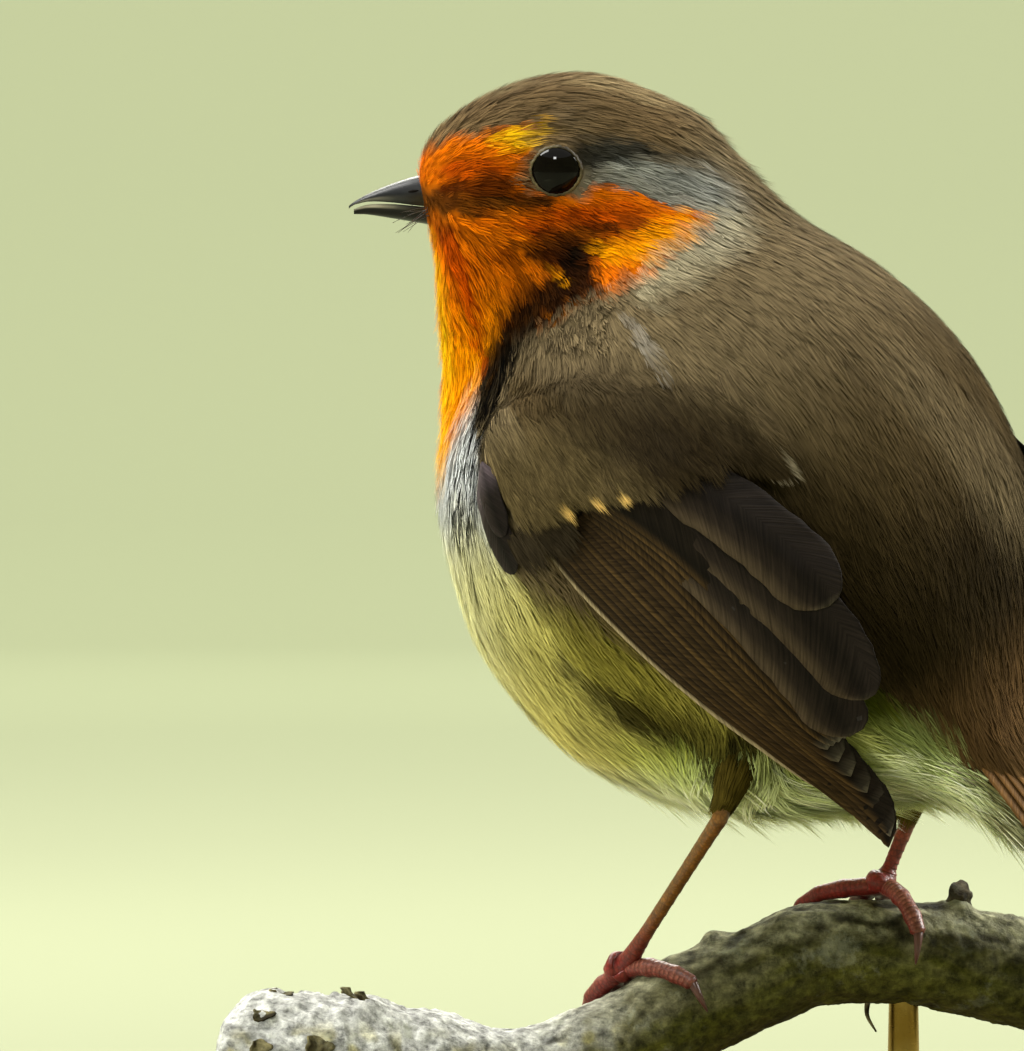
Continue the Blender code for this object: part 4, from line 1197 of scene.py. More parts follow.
def surfaceTree(names):
    parts, offset = [], 0
    for points, triangles in (surfaceOf(cadNodes[name]) for name in names):
        parts.append((points, triangles + offset))
        offset += len(points)
    return treeOf(*(np.concatenate(part) for part in zip(*parts)))


def wingSheet(side):
    # the folded wing's surface as a grid over its plan, carried smoothly past its rim
    way = -1 if side == "left" else 1
    droop = math.radians(wingPlan["droop"][side])
    tree = surfaceTree([f"wing_{side}_{part}" for part in ("coverts", "primaries", "tertials")]
                       + ["mantle", "rump"])
    s, n = np.arange(-6, 66.5, 1.0), np.arange(-11, 31.5, 1.0)
    alongs, acrosses = np.meshgrid(s, n, indexing="ij")

    def worldAt(along, across):
        return (wingPlan["wrist"][0] + along * math.cos(droop) + across * math.sin(droop),
                trunk + wingPlan["wrist"][1] - along * math.sin(droop) + across * math.cos(droop))

    def cast(onto, i, j):
        # how far out from the bird's middle plane a surface lies there
        x, z = worldAt(s[i], n[j])
        hit = onto.ray_cast(Vector((x, way * 90, z)), Vector((0, -way, 0)))[0]
        return abs(hit.y) if hit and hit.y * way > 0 else np.nan

    def averaged(table):
        padded = np.pad(table, 1, mode="edge")
        return (padded[:-2, 1:-1] + padded[2:, 1:-1] + padded[1:-1, :-2] + padded[1:-1, 2:]) / 4

    grid = np.full(alongs.shape, np.nan)
    solid = insideBy(alongs.ravel(), acrosses.ravel(), wingPlan["solid"]).reshape(grid.shape) > 0.3
    for i, j in np.argwhere(solid | (acrosses > 15) & (alongs < 36) & (alongs > 2)):
        grid[i, j] = cast(tree, i, j)
    for i, j in np.argwhere(np.isnan(grid) & (acrosses < -2.5) & (alongs < 20)):
        grid[i, j] = cast(skinTree, i, j) + 0.8
    known = ~np.isnan(grid)
    filled = np.where(known, grid, np.nanmean(grid))
    for _ in range(260):
        filled = np.where(known, grid, averaged(filled))
    for _ in range(4):
        filled = 0.4 * filled + 0.6 * averaged(filled)

    def sheet(along, across, height):
        a, b = np.clip(along - s[0], 0, len(s) - 1.001), np.clip(across - n[0], 0, len(n) - 1.001)
        i, j = a.astype(int), b.astype(int)
        u, v = a - i, b - j
        out = (filled[i, j] * (1 - u) * (1 - v) + filled[i + 1, j] * u * (1 - v)
               + filled[i, j + 1] * (1 - u) * v + filled[i + 1, j + 1] * u * v)
        x, z = worldAt(along, across)
        return np.stack([x, way * (out - wingPlan["sink"] + height), z], axis=1)

    sheet.flipped = side == "left"
    return sheet


def growWing(side):
    dice = np.random.default_rng(31 if side == "left" else 32)
    sheet, plan, quills = wingSheet(side), wingFeathers, []
    for k, tip in enumerate(plan["remigeTips"]):
        outer = plan["quill"]["outer"]
        fade = {"fringe": "#8a7a5c", "edging": 1.0} if k < 1 else {"edging": dice.uniform(0.25, 1.0)}
        fade.update({"tipColour": "#6b6354", "tipping": 0.8, "tipSpan": 0.7} if k > 3 else {"tipping": 0.3})
        quills.append({**plan["quill"], **fade, "root": (12.0 + 0.25 * k, -1.0 + 0.62 * k + outer),
                       "middle": (30.0, -0.75 + 0.80 * k + outer), "tip": tip,
                       "lift": k * plan["remigeLift"] + dice.uniform(-0.01, 0.01)})
    quills += [{**plan["tertial"], **dict(zip(plan["tertialColumns"], row))} for row in plan["tertials"]]
    obj = buildVanes(f"wing_{side}_quills", quills, sheet, 5, dice)
    finishPiece(obj, flightVane, "flight_feathers", f"wing_{side}_primaries", f"wing_{side}_tertials")
    small = []
    for k, (root, tip, half) in enumerate(plan["alulas"]):
        middle = ((root[0] + tip[0]) / 2, (root[1] + tip[1]) / 2 + 0.25)
        small.append({**plan["alula"], "root": root, "middle": middle, "tip": tip, "outer": half,
                      "inner": half, "lift": 1.2 + 0.15 * k})
    finishPiece(buildVanes(f"wing_{side}_alula_vanes", small, sheet, 5, dice), flightVane, "brown_feathers")
    growCoverts(side, sheet)


covertPlan = {
    # how far along the soft coverts reach, at each place across
    "across": (-4.0, 0.0, 2.9, 5.2, 8.6, 11.3, 15.3, 19.0, 22.0, 24.6, 27.0),
    "reach": (11.5, 13.0, 13.9, 15.0, 17.2, 19.2, 21.9, 23.0, 25.4, 28.8, 25.0),
    "spots": ((14.3, 5.0), (16.4, 8.5), (18.4, 11.3)),
    "edging": ((25.0, 25.9, 0.2), (28.2, 25.2, 0.3), (28.6, 24.2, 0.3), (26.8, 22.9, 0.2)),
    "shade": ((5.0, 8.5, 2.4), (10.0, 12.8, 3.0), (19.0, 17.5, 2.4)), "spacing": 0.8, "length": 6.2,
    "half": 1.1, "depth": 0.35, "strands": 20, "fine": 0.055, "spread": 0.9, "clump": 0.25, "mess": 0.09,
    "strandVary": 0.2, "tuftVary": 0.08, "tipLight": 0.25, "olive": "#4e4229", "dark": "#241e15",
    "primary": "#2b2419", "buff": "#e0b768", "pale": "#9b8e74",
}


def covertLayer(sheet, a, b, length, turn, low, high):
    # five places along each feather, rising from low to high towards the coverts' edge
    stations = []
    for k in range(5):
        along, across = a + length * k / 4 * np.cos(turn), b + length * k / 4 * np.sin(turn)
        end = np.interp(across, covertPlan["across"], covertPlan["reach"])
        height = low + (high - low) * smoothStep(end - 9.0, end - 1.5, along) - 0.35 * (k == 0)
        stations.append(sheet(along, across, height))
    return np.array(stations)


def growCoverts(side, sheet):
    # soft covert feathers over the roots of the quills, laid on the wing's sheet in two layers
    plan = covertPlan
    dice = np.random.default_rng(71 if side == "left" else 72)
    gap = plan["spacing"]
    s, n = (v.ravel() for v in np.meshgrid(np.arange(-2.5, 26, gap), np.arange(-4, 26, gap), indexing="ij"))
    s, n = (v + dice.uniform(-0.45, 0.45, len(s)) * gap for v in (s, n))
    length = plan["length"] * dice.uniform(0.85, 1.12, len(s))
    edge = np.interp(n, plan["across"], plan["reach"])
    soft = (s < edge - 0.82 * length) & (s > edge - 15) & (s > 0.35 * n - 4.5)
    soft &= n > np.interp(s, (-2, 1, 3, 12), (1.5, 0.8, 0.3, 0.3))
    under = (n > -3.4) & (n < 3.6) & (s > 8.6) & (s < 11.6 + 0.3 * n)
    layers = []
    for keep, low, high in ((under, 0.7, 1.25), (soft, 0.95, 1.9)):
        turn = 0.02 + dice.normal(0, 1, keep.sum()) * plan["mess"]
        layers.append(covertLayer(sheet, s[keep], n[keep], length[keep], turn, low, high))
    stations = np.concatenate(layers, axis=1)
    a, b = (np.concatenate([v[under], v[soft]]) for v in (s, n))
    ahead = unit(np.concatenate([np.diff(stations, axis=0), stations[-1:] - stations[-2:-1]]))
    aside = sheet(a, b + 0.5, np.zeros(len(a))) - sheet(a, b - 0.5, np.zeros(len(a)))
    ups = unit(np.cross(ahead, aside[None]))
    ups = ups * np.sign(ups[..., 1:2] * (-1 if side == "left" else 1))
    olive, dark, primary, buff, pale = (linear(plan[key])
                                        for key in ("olive", "dark", "primary", "buff", "pale"))

    def shadeAt(points):
        along, across = wingPlace(side, points)
        base = markingsAndShading(points)
        colour = blend(base * 0.68, olive, smoothStep(17, 9, across))
        # a band of painted shade across the coverts, along the plan's shade rows
        colour = blend(colour, dark, 0.4 * strokeShare(along, across, plan["shade"]))
        colour = blend(colour, dark, 0.5 * smoothStep(0.3, 0.9, wobble(points, 3.0, 77)))
        return blend(base, colour,
                     smoothStep(-14.5, -9.0, along - np.interp(across, plan["across"], plan["reach"])))

    near, far = shadeAt(stations[1]), shadeAt(stations[4])
    first = under.sum()
    near[:first], far[:first] = primary * 1.3, primary

    def retint(points, colour):
        along, across = wingPlace(side, points)
        for place in plan["spots"]:
            away = np.hypot((along - place[0]) / 0.85, (across - place[1]) / 0.6)
            colour = blend(colour, buff, 0.95 * smoothStep(1.25, 0.6, away))
        return blend(colour, pale, 0.65 * strokeShare(along, across, plan["edging"]))

    style = evenStyle(plan, len(a))
    obj = layTufts(f"wing_{side}_covert_tufts", (stations, ups, ahead), near, far, style, 73, retint)
    finishPiece(obj, featherCoat, "brown_feathers")


tailPlan = {
    "root": (24.9, -16.5), "pitch": 47.3, "length": 58.0, "halfWidth": (5.0, 8.6, 11.0), "arch": 1.6,
    "middleHalf": 2.9,
    "feather": {"outer": 2.3, "inner": 3.9, "main": "#3a2a18", "web": "#4d361c", "fringe": "#755229",
                "round": 2.6, "blunt": 1.4, "tipping": 0.4},
}


def growTail():
    pitch = math.radians(tailPlan["pitch"])
    ahead, above = np.array(((math.cos(pitch), 0, -math.sin(pitch)), (math.sin(pitch), 0, math.cos(pitch))))
    root = np.array((tailPlan["root"][0], 0, tailPlan["root"][1] + trunk))

    def sheet(along, across, height):
        half = np.interp(along / tailPlan["length"], (0, 0.5, 1), tailPlan["halfWidth"])
        bend = tailPlan["arch"] * (1 - np.clip(across / half, -1.3, 1.3) ** 2)
        middle = root + along[:, None] * ahead + (bend + height)[:, None] * above
        return middle + across[:, None] * np.array((0, 1, 0))

    sheet.flipped = False
    dice = np.random.default_rng(41)
    for side, way in (("left", -1), ("right", 1)):
        rows = []
        for k in range(6):  # from the outermost feather to the middle one, which lies on top
            place = 5.5 - k
            row = {**tailPlan["feather"], "root": (5.0, way * (0.5 + place * 0.55)),
                   "middle": (30.0, way * (0.4 + place * 1.12)), "tip": (57.6 - 0.3 * k, way * place * 1.52),
                   "lift": -0.55 + 0.2 * k + (0.05 if way > 0 else 0)}
            if k == 5:
                row["outer"] = row["inner"] = tailPlan["middleHalf"]
            if way > 0:  # the narrow web faces outwards on both sides
                row["outer"], row["inner"] = row["inner"], row["outer"]
                row["web"], row["main"] = row["main"], row["web"]
            rows.append(row)
        obj = buildVanes(f"tail_{side}_feathers", rows, sheet, 3, dice)
        finishPiece(obj, flightVane, "flight_feathers", *(("tail",) if way < 0 else ()))


growWing("left")
growWing("right")
growTail()
print("wings and tail")


# ---------- paths and tubes


def between(rows, place):
    # the row at a fractional place in a table, on a smooth curve through all its rows
    rows = np.array(rows, dtype=float)
    last = len(rows) - 1
    index = min(int(place), last - 1)
    t = place - index
    p0, p1, p2, p3 = rows[max(index - 1, 0)], rows[index], rows[index + 1], rows[min(index + 2, last)]
    return 0.5 * (2 * p1 + (p2 - p0) * t + (2 * p0 - 5 * p1 + 4 * p2 - p3) * t * t
                  + (3 * p1 - p0 - 3 * p2 + p3) * t ** 3)


def resample(path, count):
    # even steps along a smooth curve through the path's points
    dense = np.array([between(path, p) for p in np.linspace(0, len(path) - 1, 12 * len(path))])
    run = lengthsAlong(dense)
    return np.stack([np.interp(np.linspace(0, run[-1], count), run, dense[:, k])
                     for k in range(dense.shape[1])], axis=1)


def tubeRings(path, radii, sides, start=None):
    # rings across a path, carried along it without twisting; radii has one number or one row per ring
    path = np.asarray(path, dtype=float)
    ahead = unit(np.gradient(path, axis=0))
    across = np.array(start if start is not None else (0.3, 0.5, 0.8), dtype=float)
    radii = np.asarray(radii, dtype=float)
    radii = radii[:, None] if radii.ndim == 1 else radii
    turn = turns(sides)
    rings = []
    for i in range(len(path)):
        across = unit(across - ahead[i] * np.dot(across, ahead[i]))
        other = np.cross(ahead[i], across)
        ring = across * (np.cos(turn) * radii[i])[:, None] + other * (np.sin(turn) * radii[i])[:, None]
        rings.append(path[i] + ring)
    return np.array(rings)


def tubeMesh(name, rings):
    # a closed tube over rings, with a point at the middle of each end
    rows, sides = rings.shape[:2]
    points = np.concatenate([rings.reshape(-1, 3), rings[0].mean(axis=0)[None], rings[-1].mean(axis=0)[None]])
    faces = loftTriangles(rows, sides)
    faces += capTriangles(0, sides, rows * sides, True)
    faces += capTriangles((rows - 1) * sides, sides, rows * sides + 1, False)
    return meshFrom(name, points, faces)


def paintTube(obj, colours):
    # one colour for each point of each ring, and the mean at the middle of each end
    ends = np.stack([colours[0].mean(axis=0), colours[-1].mean(axis=0)])
    paint(obj, np.clip(np.concatenate([colours.reshape(-1, 3), ends]), 0, 1))


# ---------- eyes and lids

def eyeMaterials():
    # Cornea: wet and clear over a brown so dark that it reads as black, so it mirrors the lamps sharply.
    wet = speckled("wet cornea", 900.0, "#050403", "#0d0805",
                   {"Roughness": 0.04, "IOR": 1.376, "Specular IOR Level": 0.3})
    # Lid: bare skin with a row of tiny granules, matt and greyish brown, paler on its crest.
    lid, tree, place = newMaterial("granular lid skin", {"Roughness": 0.55, "Specular IOR Level": 0.4})
    beads = addNode(tree, "TexVoronoi", {"Vector": place, "Scale": 3600.0})
    tone = addTones(tree, addNoise(tree, place, 420.0, 3.0), "#2a200d", "#6f6242", (0.38, 0.64))
    return wet, wire(lid, tone, beads, 0.5, 0.00008, True)


def makeEyes():
    wet, lidSkin = eyeMaterials()
    for side in ("left", "right"):
        middle, out, forward, up = eyeWays(side)
        deselect()
        bpy.ops.mesh.primitive_uv_sphere_add(segments=64, ring_count=40, radius=eyePlan["radius"] * mm,
                                             location=Vector(middle * mm),
                                             rotation=Vector(out).to_track_quat("Z", "Y").to_euler())
        eye = bpy.context.object
        eye.name = eye.data.name = f"eye_ball_{side}"
        editMode(True, "DESELECT")
        editMode(False)
        for vertex in eye.data.vertices:  # the cornea stands a little proud of the ball
            vertex.select = vertex.co.z > 2.7 * mm
        editMode(True)
        bpy.ops.transform.translate(value=Vector(out) * 0.1 * mm, use_proportional_edit=True,
                                    proportional_edit_falloff="SMOOTH", proportional_size=1.6 * mm)
        editMode(False)
        bpy.ops.object.shade_smooth()
        settle(eye)
        finishPiece(eye, wet, "eye_gloss", "eye_" + side)
        # the lid: a rolled rim round the opening, running down under the feathers
        turn, rings = turns(96), []
        for radius, height in eyePlan["lid"]:
            wrinkle = 0.012 * np.sin(23 * turn) * (2.3 < radius < 3)
            corner = 1 + 0.055 * np.maximum(np.cos(2 * turn), 0) ** 3 + wrinkle
            rim = forward * np.cos(turn)[:, None] + up * np.sin(turn)[:, None]
            rings.append(middle + out * height + rim * (radius * corner)[:, None])
        faces = loftTriangles(len(rings), 96)
        if side == "right":
            faces = [f[::-1] for f in faces]
        lid = meshFrom(f"eye_lid_{side}", np.concatenate(rings), faces)
        faceOutwards(lid)
        bake(lid, "SOLIDIFY", thickness=0.00012, offset=-1.0)
        bpy.ops.object.shade_smooth()
        finishPiece(lid, lidSkin, "face_feathers")


# ---------- bill

billPlan = {
    # behind the neck pivot, top, bottom, half width
    "upper": ((-20.5, 34.2, 30.5, 2.7), (-24.0, 33.8, 30.75, 2.25), (-27.0, 32.9, 31.0, 1.7),
              (-29.6, 31.8, 31.0, 1.05), (-31.2, 30.9, 30.55, 0.5), (-31.75, 30.45, 30.15, 0.26)),
    "lower": ((-20.5, 30.15, 28.0, 2.5), (-24.0, 30.4, 28.6, 2.05), (-27.0, 30.65, 29.1, 1.5),
              (-29.6, 30.6, 29.5, 0.9), (-31.2, 30.1, 29.55, 0.4)),
    "sides": 40, "stations": 34,
    "slate": "#1d1f22", "deep": "#0b0806", "pale": "#d9d0b4", "olive": "#33270b",
}


def billMaterial():
    # Rhamphotheca: horn in fine lengthwise layers, slate grey, softly polished, paler on its cutting edge.
    made, tree, place = newMaterial("polished bill horn",
                                    {"Roughness": 0.36, "IOR": 1.45, "Specular IOR Level": 0.3})
    grain = addNoise(tree, addStretch(tree, place, (260.0, 1900.0, 1900.0), (0.0, 0.0, -headTurn)), 1.0, 4.0)
    colour = addNode(tree, "VertexColor", {"layer_name": "coatColour"})
    return wire(made, addScaled(tree, colour, addSpan(tree, grain, 0.3, 0.7, 0.7, 1.35)), grain, 0.25,
                0.00006)


def billRing(part, row, turn):
    # one ring of a mandible, and its colours
    behind, top, bottom, half = row
    upper = part == "upper"
    c, w = np.cos(turn), np.sin(turn)
    if upper:
        ridge = np.where(c > 0, np.maximum(c, 0) ** 0.85, -0.10 * np.abs(w) * (half > 0.6))
        ridge = np.where(c <= 0, ridge + 0.06 * np.abs(c), ridge)
    else:
        ridge = np.where(c < 0, 1 - np.maximum(-c, 0) ** 0.85, 1 - 0.06 * np.abs(c))
    height = bottom + (top - bottom) * ridge
    ring = np.array([fromHead(behind, right, h) for right, h in zip(half * w, height)])
    slate, deep, pale, olive = (linear(billPlan[key]) for key in ("slate", "deep", "pale", "olive"))
    share = np.clip((behind + 32.0) / 9.0, 0, 1)  # 0 at the tip, 1 at the feathers
    edge = np.exp(-(((ridge - (0.10 if upper else 0.9)) / 0.13) ** 2)) * (np.abs(w) > 0.5)
    gape = smoothStep(0.62, 1.0, share) * np.exp(-((ridge - (0.0 if upper else 1.0)) / 0.35) ** 2)
    tint = mix(slate, deep, 0.25 if upper else 0.85)
    tint = mix(tint, olive, gape[:, None] * 0.85)
    return ring, mix(tint, pale,
                     (edge * (0.3 if upper else 1.0) * np.exp(-((share - 0.3) / 0.27) ** 2))[:, None])


def makeBill():
    horn, turn = billMaterial(), turns(billPlan["sides"])
    for part in ("upper", "lower"):
        rows = [billRing(part, row, turn) for row in resample(billPlan[part], billPlan["stations"])]
        rings, colours = (np.array(v) for v in zip(*rows))
        piece = tubeMesh(f"bill_{part}_horn", rings)
        faceOutwards(piece)
        paintTube(piece, colours)
        finishPiece(piece, horn, "bill_horn", "bill_" + part)
    # nostrils: a slit with a raised lower rim on each side, just ahead of the feathers
    marks = []
    for way in (-1, 1):
        centre = np.array([fromHead(-24.6 - 0.9 * t, way * (1.93 - 0.17 * t), 32.05 - 0.12 * t)
                           for t in np.linspace(-0.5, 0.9, 9)])
        swell = 0.17 * np.sin(np.linspace(0.25, math.pi - 0.15, 9)) ** 0.7
        marks.append(tubeMesh("part", tubeRings(centre, swell, 12)))
    dark = speckled("shaded nostril horn", 2500.0, "#060504", "#15110d",
                    {"Roughness": 0.8, "Specular IOR Level": 0.1})
    finishPiece(joinPieces(marks, "nostrils"), dark, "bill_horn")
    # bristles at the corner of the mouth
    dice, hairs = np.random.default_rng(51), []
    for way in (-1,) * 9 + (1,) * 9:
        root = fromHead(-21.6 + dice.uniform(-0.5, 0.7), way * dice.uniform(2.9, 3.5),
                        30.0 + dice.uniform(-0.6, 1.6))
        reach = fromHead(-25.2 - dice.uniform(0, 1.8), way * dice.uniform(3.2, 4.3),
                         29.0 + dice.uniform(-1.6, 1.3))
        middle = (root + reach) / 2 + np.array((0, 0, 0.25))
        path = resample([root, middle, reach], 7)
        hairs.append(tubeMesh("part", tubeRings(path, np.linspace(0.06, 0.018, 7), 5)))
    stiff = speckled("mouth bristle keratin", 1200.0, "#1a120a", "#3b2814", {"Roughness": 0.45})
    finishPiece(joinPieces(hairs, "mouth_bristles"), stiff, "face_feathers")


makeEyes()
makeBill()
print("eyes and bill")


# ---------- perch

perchPlan = {
    "heading": 30.0,
    # across, height, depth, radius
    "points": ((40.8, -55.9, 3.6, 5.8), (33.0, -53.4, 2.6, 5.9), (23.2, -51.1, 1.6, 5.8),
               (16.0, -50.7, 1.3, 5.75), (9.6, -51.2, 1.3, 5.7), (4.3, -53.4, 1.3, 5.6),
               (-2.2, -56.2, 1.3, 5.8), (-8.7, -60.3, 1.2, 6.0), (-14.1, -63.0, 0.8, 6.2),
               (-20.1, -65.0, 0.0, 6.4), (-26.1, -65.3, -1.0, 6.8), (-32.6, -64.6, -1.6, 7.6),
               (-40.2, -64.4, -1.4, 8.8), (-46.7, -64.5, -0.8, 9.2), (-51.4, -65.0, -0.2, 8.3)),
    "sides": 120, "rings": 400,
    # lumps: across, degrees round, height, width
    "lumps": ((1.4, 5, 0.9, 1.6), (24.6, -8, 1.5, 1.5), (20.4, -50, 0.5, 1.6), (8.0, -38, 0.55, 1.8),
              (-4.5, -28, 0.9, 3.0), (-13.0, -20, 0.6, 2.6), (-48.0, -5, 0.8, 3.0), (-38, -30, 0.9, 3.4),
              (30.5, -20, 0.5, 2.2), (-30.0, 15, 0.7, 2.6), (12.0, 140, 0.8, 2.2), (-20.0, 120, 0.7, 2.4)),
    "kept": (-6.5, -9.5, -3.0, 17.7, 14.5, 21.0),  # where the feet lie, and the bark stays low
    "grey": "#5a573f", "dark": "#1c180d", "green": "#4c4d10", "pale": "#8f8d74", "lichen": "#b7b7b6",
    "moss": "#948a3a", "wood": "#b08f5c", "flake": "#6b6446", "shade": "#28210f", "stub": "#30271a",
}
c30, s30 = math.cos(math.radians(perchPlan["heading"])), math.sin(math.radians(perchPlan["heading"]))
acrossWay, depthWay = np.array((c30, s30, 0.0)), np.array((-s30, c30, 0.0))


def perchLine(count):
    # centres, radii and lengths run, from the thin end to the burr
    rows = np.array([between(perchPlan["points"], p)
                     for p in np.linspace(0, len(perchPlan["points"]) - 1, count)])
    centres = acrossWay * rows[:, :1] + depthWay * rows[:, 2:3] + np.array((0, 0, 1)) * (rows[:, 1:2] + trunk)
    run = lengthsAlong(centres)
    return centres, rows[:, 3], run


perchCentres, perchRadii, perchRun = perchLine(281)


def runAtAcross(across):
    marks = perchCentres @ acrossWay
    order = np.argsort(marks)
    return float(np.interp(across, marks[order], perchRun[order]))


def onPerch(run, angle, lift):
    # a point lift above the bark; angle 0 is on top and positive goes round the far side
    before, centre, after = (np.array([np.interp(run + step, perchRun, perchCentres[:, k]) for k in range(3)])
                             for step in (-0.4, 0, 0.4))
    ahead = unit(after - before)
    up = unit(np.array((0, 0, 1.0)) - ahead * ahead[2])
    far = np.cross(ahead, up)
    far = far if np.dot(far, depthWay) > 0 else -far
    radius = float(np.interp(run, perchRun, perchRadii))
    return centre + (up * math.cos(angle) + far * math.sin(angle)) * (radius + lift)


def barkMaterial():
    # Hazel-like bark: thin and finely cracked, with grey lichen on top and green algae on its damp underside.
    made, tree, place = newMaterial("weathered twig bark", {"Roughness": 0.88, "Specular IOR Level": 0.2})
    colour = addNode(tree, "VertexColor", {"layer_name": "coatColour"})
    fine = addNoise(tree, place, 700.0, 8.0, 0.72)
    lengthwise = addStretch(tree, place, (260.0, 1100.0, 1100.0), (0.0, 0.0, -math.radians(30)))
    grain = addNoise(tree, lengthwise, 1.0, 5.0, 0.65)
    contrast, streak = addSpan(tree, fine, 0.34, 0.66, 0.3, 1.8), addSpan(tree, grain, 0.3, 0.7, 0.55, 1.5)
    shaded = addScaled(tree, colour, addMath(tree, "MULTIPLY", contrast, streak))
    # the lichen's patches, kept off the bare dark parts
    moist = addSpan(tree, addNoise(tree, place, 190.0, 6.0, 0.7), 0.58, 0.66, 0.0, 0.45)
    reach = addMath(tree, "MULTIPLY", addNode(tree, "SeparateColor", {0: colour}), 6.0)
    reach.use_clamp = True
    lichen = addMath(tree, "MULTIPLY", moist, reach)
    crust = addNode(tree, "Mix", {"data_type": "RGBA", 0: lichen, 6: shaded, 7: (*linear("#a3a691"), 1)})
    return wire(made, crust.outputs[2], addMath(tree, "MULTIPLY_ADD", grain, 0.5, fine), 0.9, 0.0005)


def perchRings():
    # the burr rounds off over its last few millimetres
    total = perchRun[-1]
    run = np.linspace(0, total, perchPlan["rings"])
    centres = np.stack([np.interp(run, perchRun, perchCentres[:, k]) for k in range(3)], axis=1)
    radii = np.interp(run, perchRun, perchRadii)
    extra = np.array((0.35, 0.8, 1.4, 2.0, 2.5, 2.9, 3.1))
    centres = np.concatenate([centres, centres[-1] + unit(centres[-1] - centres[-4]) * extra[:, None]])
    radii = np.concatenate([radii, radii[-1] * np.sqrt(np.maximum(1 - (extra / 3.15) ** 2.2, 0.02))])
    radii[0] *= 0.94
    return centres, radii, np.concatenate([run, total + extra])


def barkRise(flat, stretched, burr, radii):
    # lumps, lengthwise folds, plates that lift, and rings of old bud scars
    swell = 0.30 * wobble(flat, 9.0, 2) + 0.20 * wobble(flat, 4.0, 5)
    folds = 0.20 * np.abs(wobble(stretched, 1.5, 7)) + 0.10 * np.abs(wobble(stretched, 0.7, 8))
    grit = 0.10 * wobble(flat, 1.3, 11) + 0.06 * wobble(flat, 0.6, 12)
    plates = 0.16 * smoothStep(0.05, 0.22, wobble(flat, 2.6, 15))
    plates = plates + 0.12 * smoothStep(0.12, 0.3, wobble(flat, 1.5, 18))
    rise = swell * (0.8 + 1.1 * burr) - folds + grit * (1 + burr) + plates * (0.7 + 1.2 * burr) - 0.1
    for across, angle, high, wide in perchPlan["lumps"]:
        away = np.linalg.norm(flat - onPerch(runAtAcross(across), math.radians(angle), 0.0), axis=1)
        rise = rise + high * np.exp(-(away / wide) ** 2)
    feet = [onPerch(runAtAcross(a), math.radians(t), 0.0) for a in perchPlan["kept"] for t in (0, -40, 40)]
    grip = smoothStep(2.0, 5.0, np.min([np.linalg.norm(flat - foot, axis=1) for foot in feet], axis=0))
    rise = np.minimum(rise, 0.25) * (1 - grip) + rise * grip
    return rise * np.repeat(np.clip(radii / 5.0, 0, 1), perchPlan["sides"])


def barkColours(flat, stretched, up, rise, burr, thick):
    # paler over the top as painted highlight, grey, dark in folds, algae green below and darker still
    # underneath as painted shade, lichen on the burr
    grey, dark, green, pale, lichen, moss, wood = (
        linear(perchPlan[key]) for key in ("grey", "dark", "green", "pale", "lichen", "moss", "wood"))
    mottle = wobble(flat, 3.4, 21) + 0.6 * wobble(flat, 1.2, 23)
    grain = wobble(stretched, 1.1, 24)
    mossy = smoothStep(0.0, 0.3, wobble(flat, 2.0, 27))
    mossy = mossy * smoothStep(-0.5, 0.1, up) * smoothStep(0.85, 0.35, up)
    colour = np.repeat(grey[None], len(flat), axis=0)
    for tint, share in (
            # paler over the top: painted highlight
            (pale, 0.6 * smoothStep(0.4, 0.95, up + 0.5 * grain + 0.3 * mottle)),
            (dark, 0.8 * smoothStep(0.0, -0.5, 0.5 * mottle + rise + 0.7 * grain)),
            (green, 0.8 * smoothStep(0.5, -0.5, up + 0.3 * grain)),
            # darker towards the underside: painted shade
            (dark, 0.4 * smoothStep(0.2, -0.8, up + 0.4 * mottle)),
            (lichen, 0.8 * thick * smoothStep(0.1, 0.8, up + 0.35 * mottle + 0.6 * grain + 0.2 * burr)),
            (moss, 0.65 * thick * mossy)):
        colour = blend(colour, tint, share)
    return np.clip(np.concatenate([colour, [wood, colour[-1]]]), 0, 1)


def makeBark():
    sides = perchPlan["sides"]
    centres, radii, run = perchRings()
    rings = tubeRings(centres, radii, sides, start=(0, 0, 1))
    out = rings - centres[:, None]
    ways = (out / np.maximum(np.linalg.norm(out, axis=2, keepdims=True), 1e-6)).reshape(-1, 3)
    flat, lengthwise = rings.reshape(-1, 3), np.repeat(run, sides)
    stretched = np.stack([lengthwise * 0.28, ways[:, 1] * 5.5, ways[:, 2] * 5.5 + lengthwise * 0.03], axis=1)
    burr, thick = (smoothStep(perchRun[-1] - a, perchRun[-1] - b, lengthwise) for a, b in ((30, 8), (50, 26)))
    rise = barkRise(flat, stretched, burr, radii)
    piece = tubeMesh("perch_bark", (flat + ways * rise[:, None]).reshape(len(run), sides, 3))
    paint(piece, barkColours(flat, stretched, ways[:, 2], rise, burr, thick))
    finishPiece(piece, bark, "bark", "perch_branch")
    return centres, radii


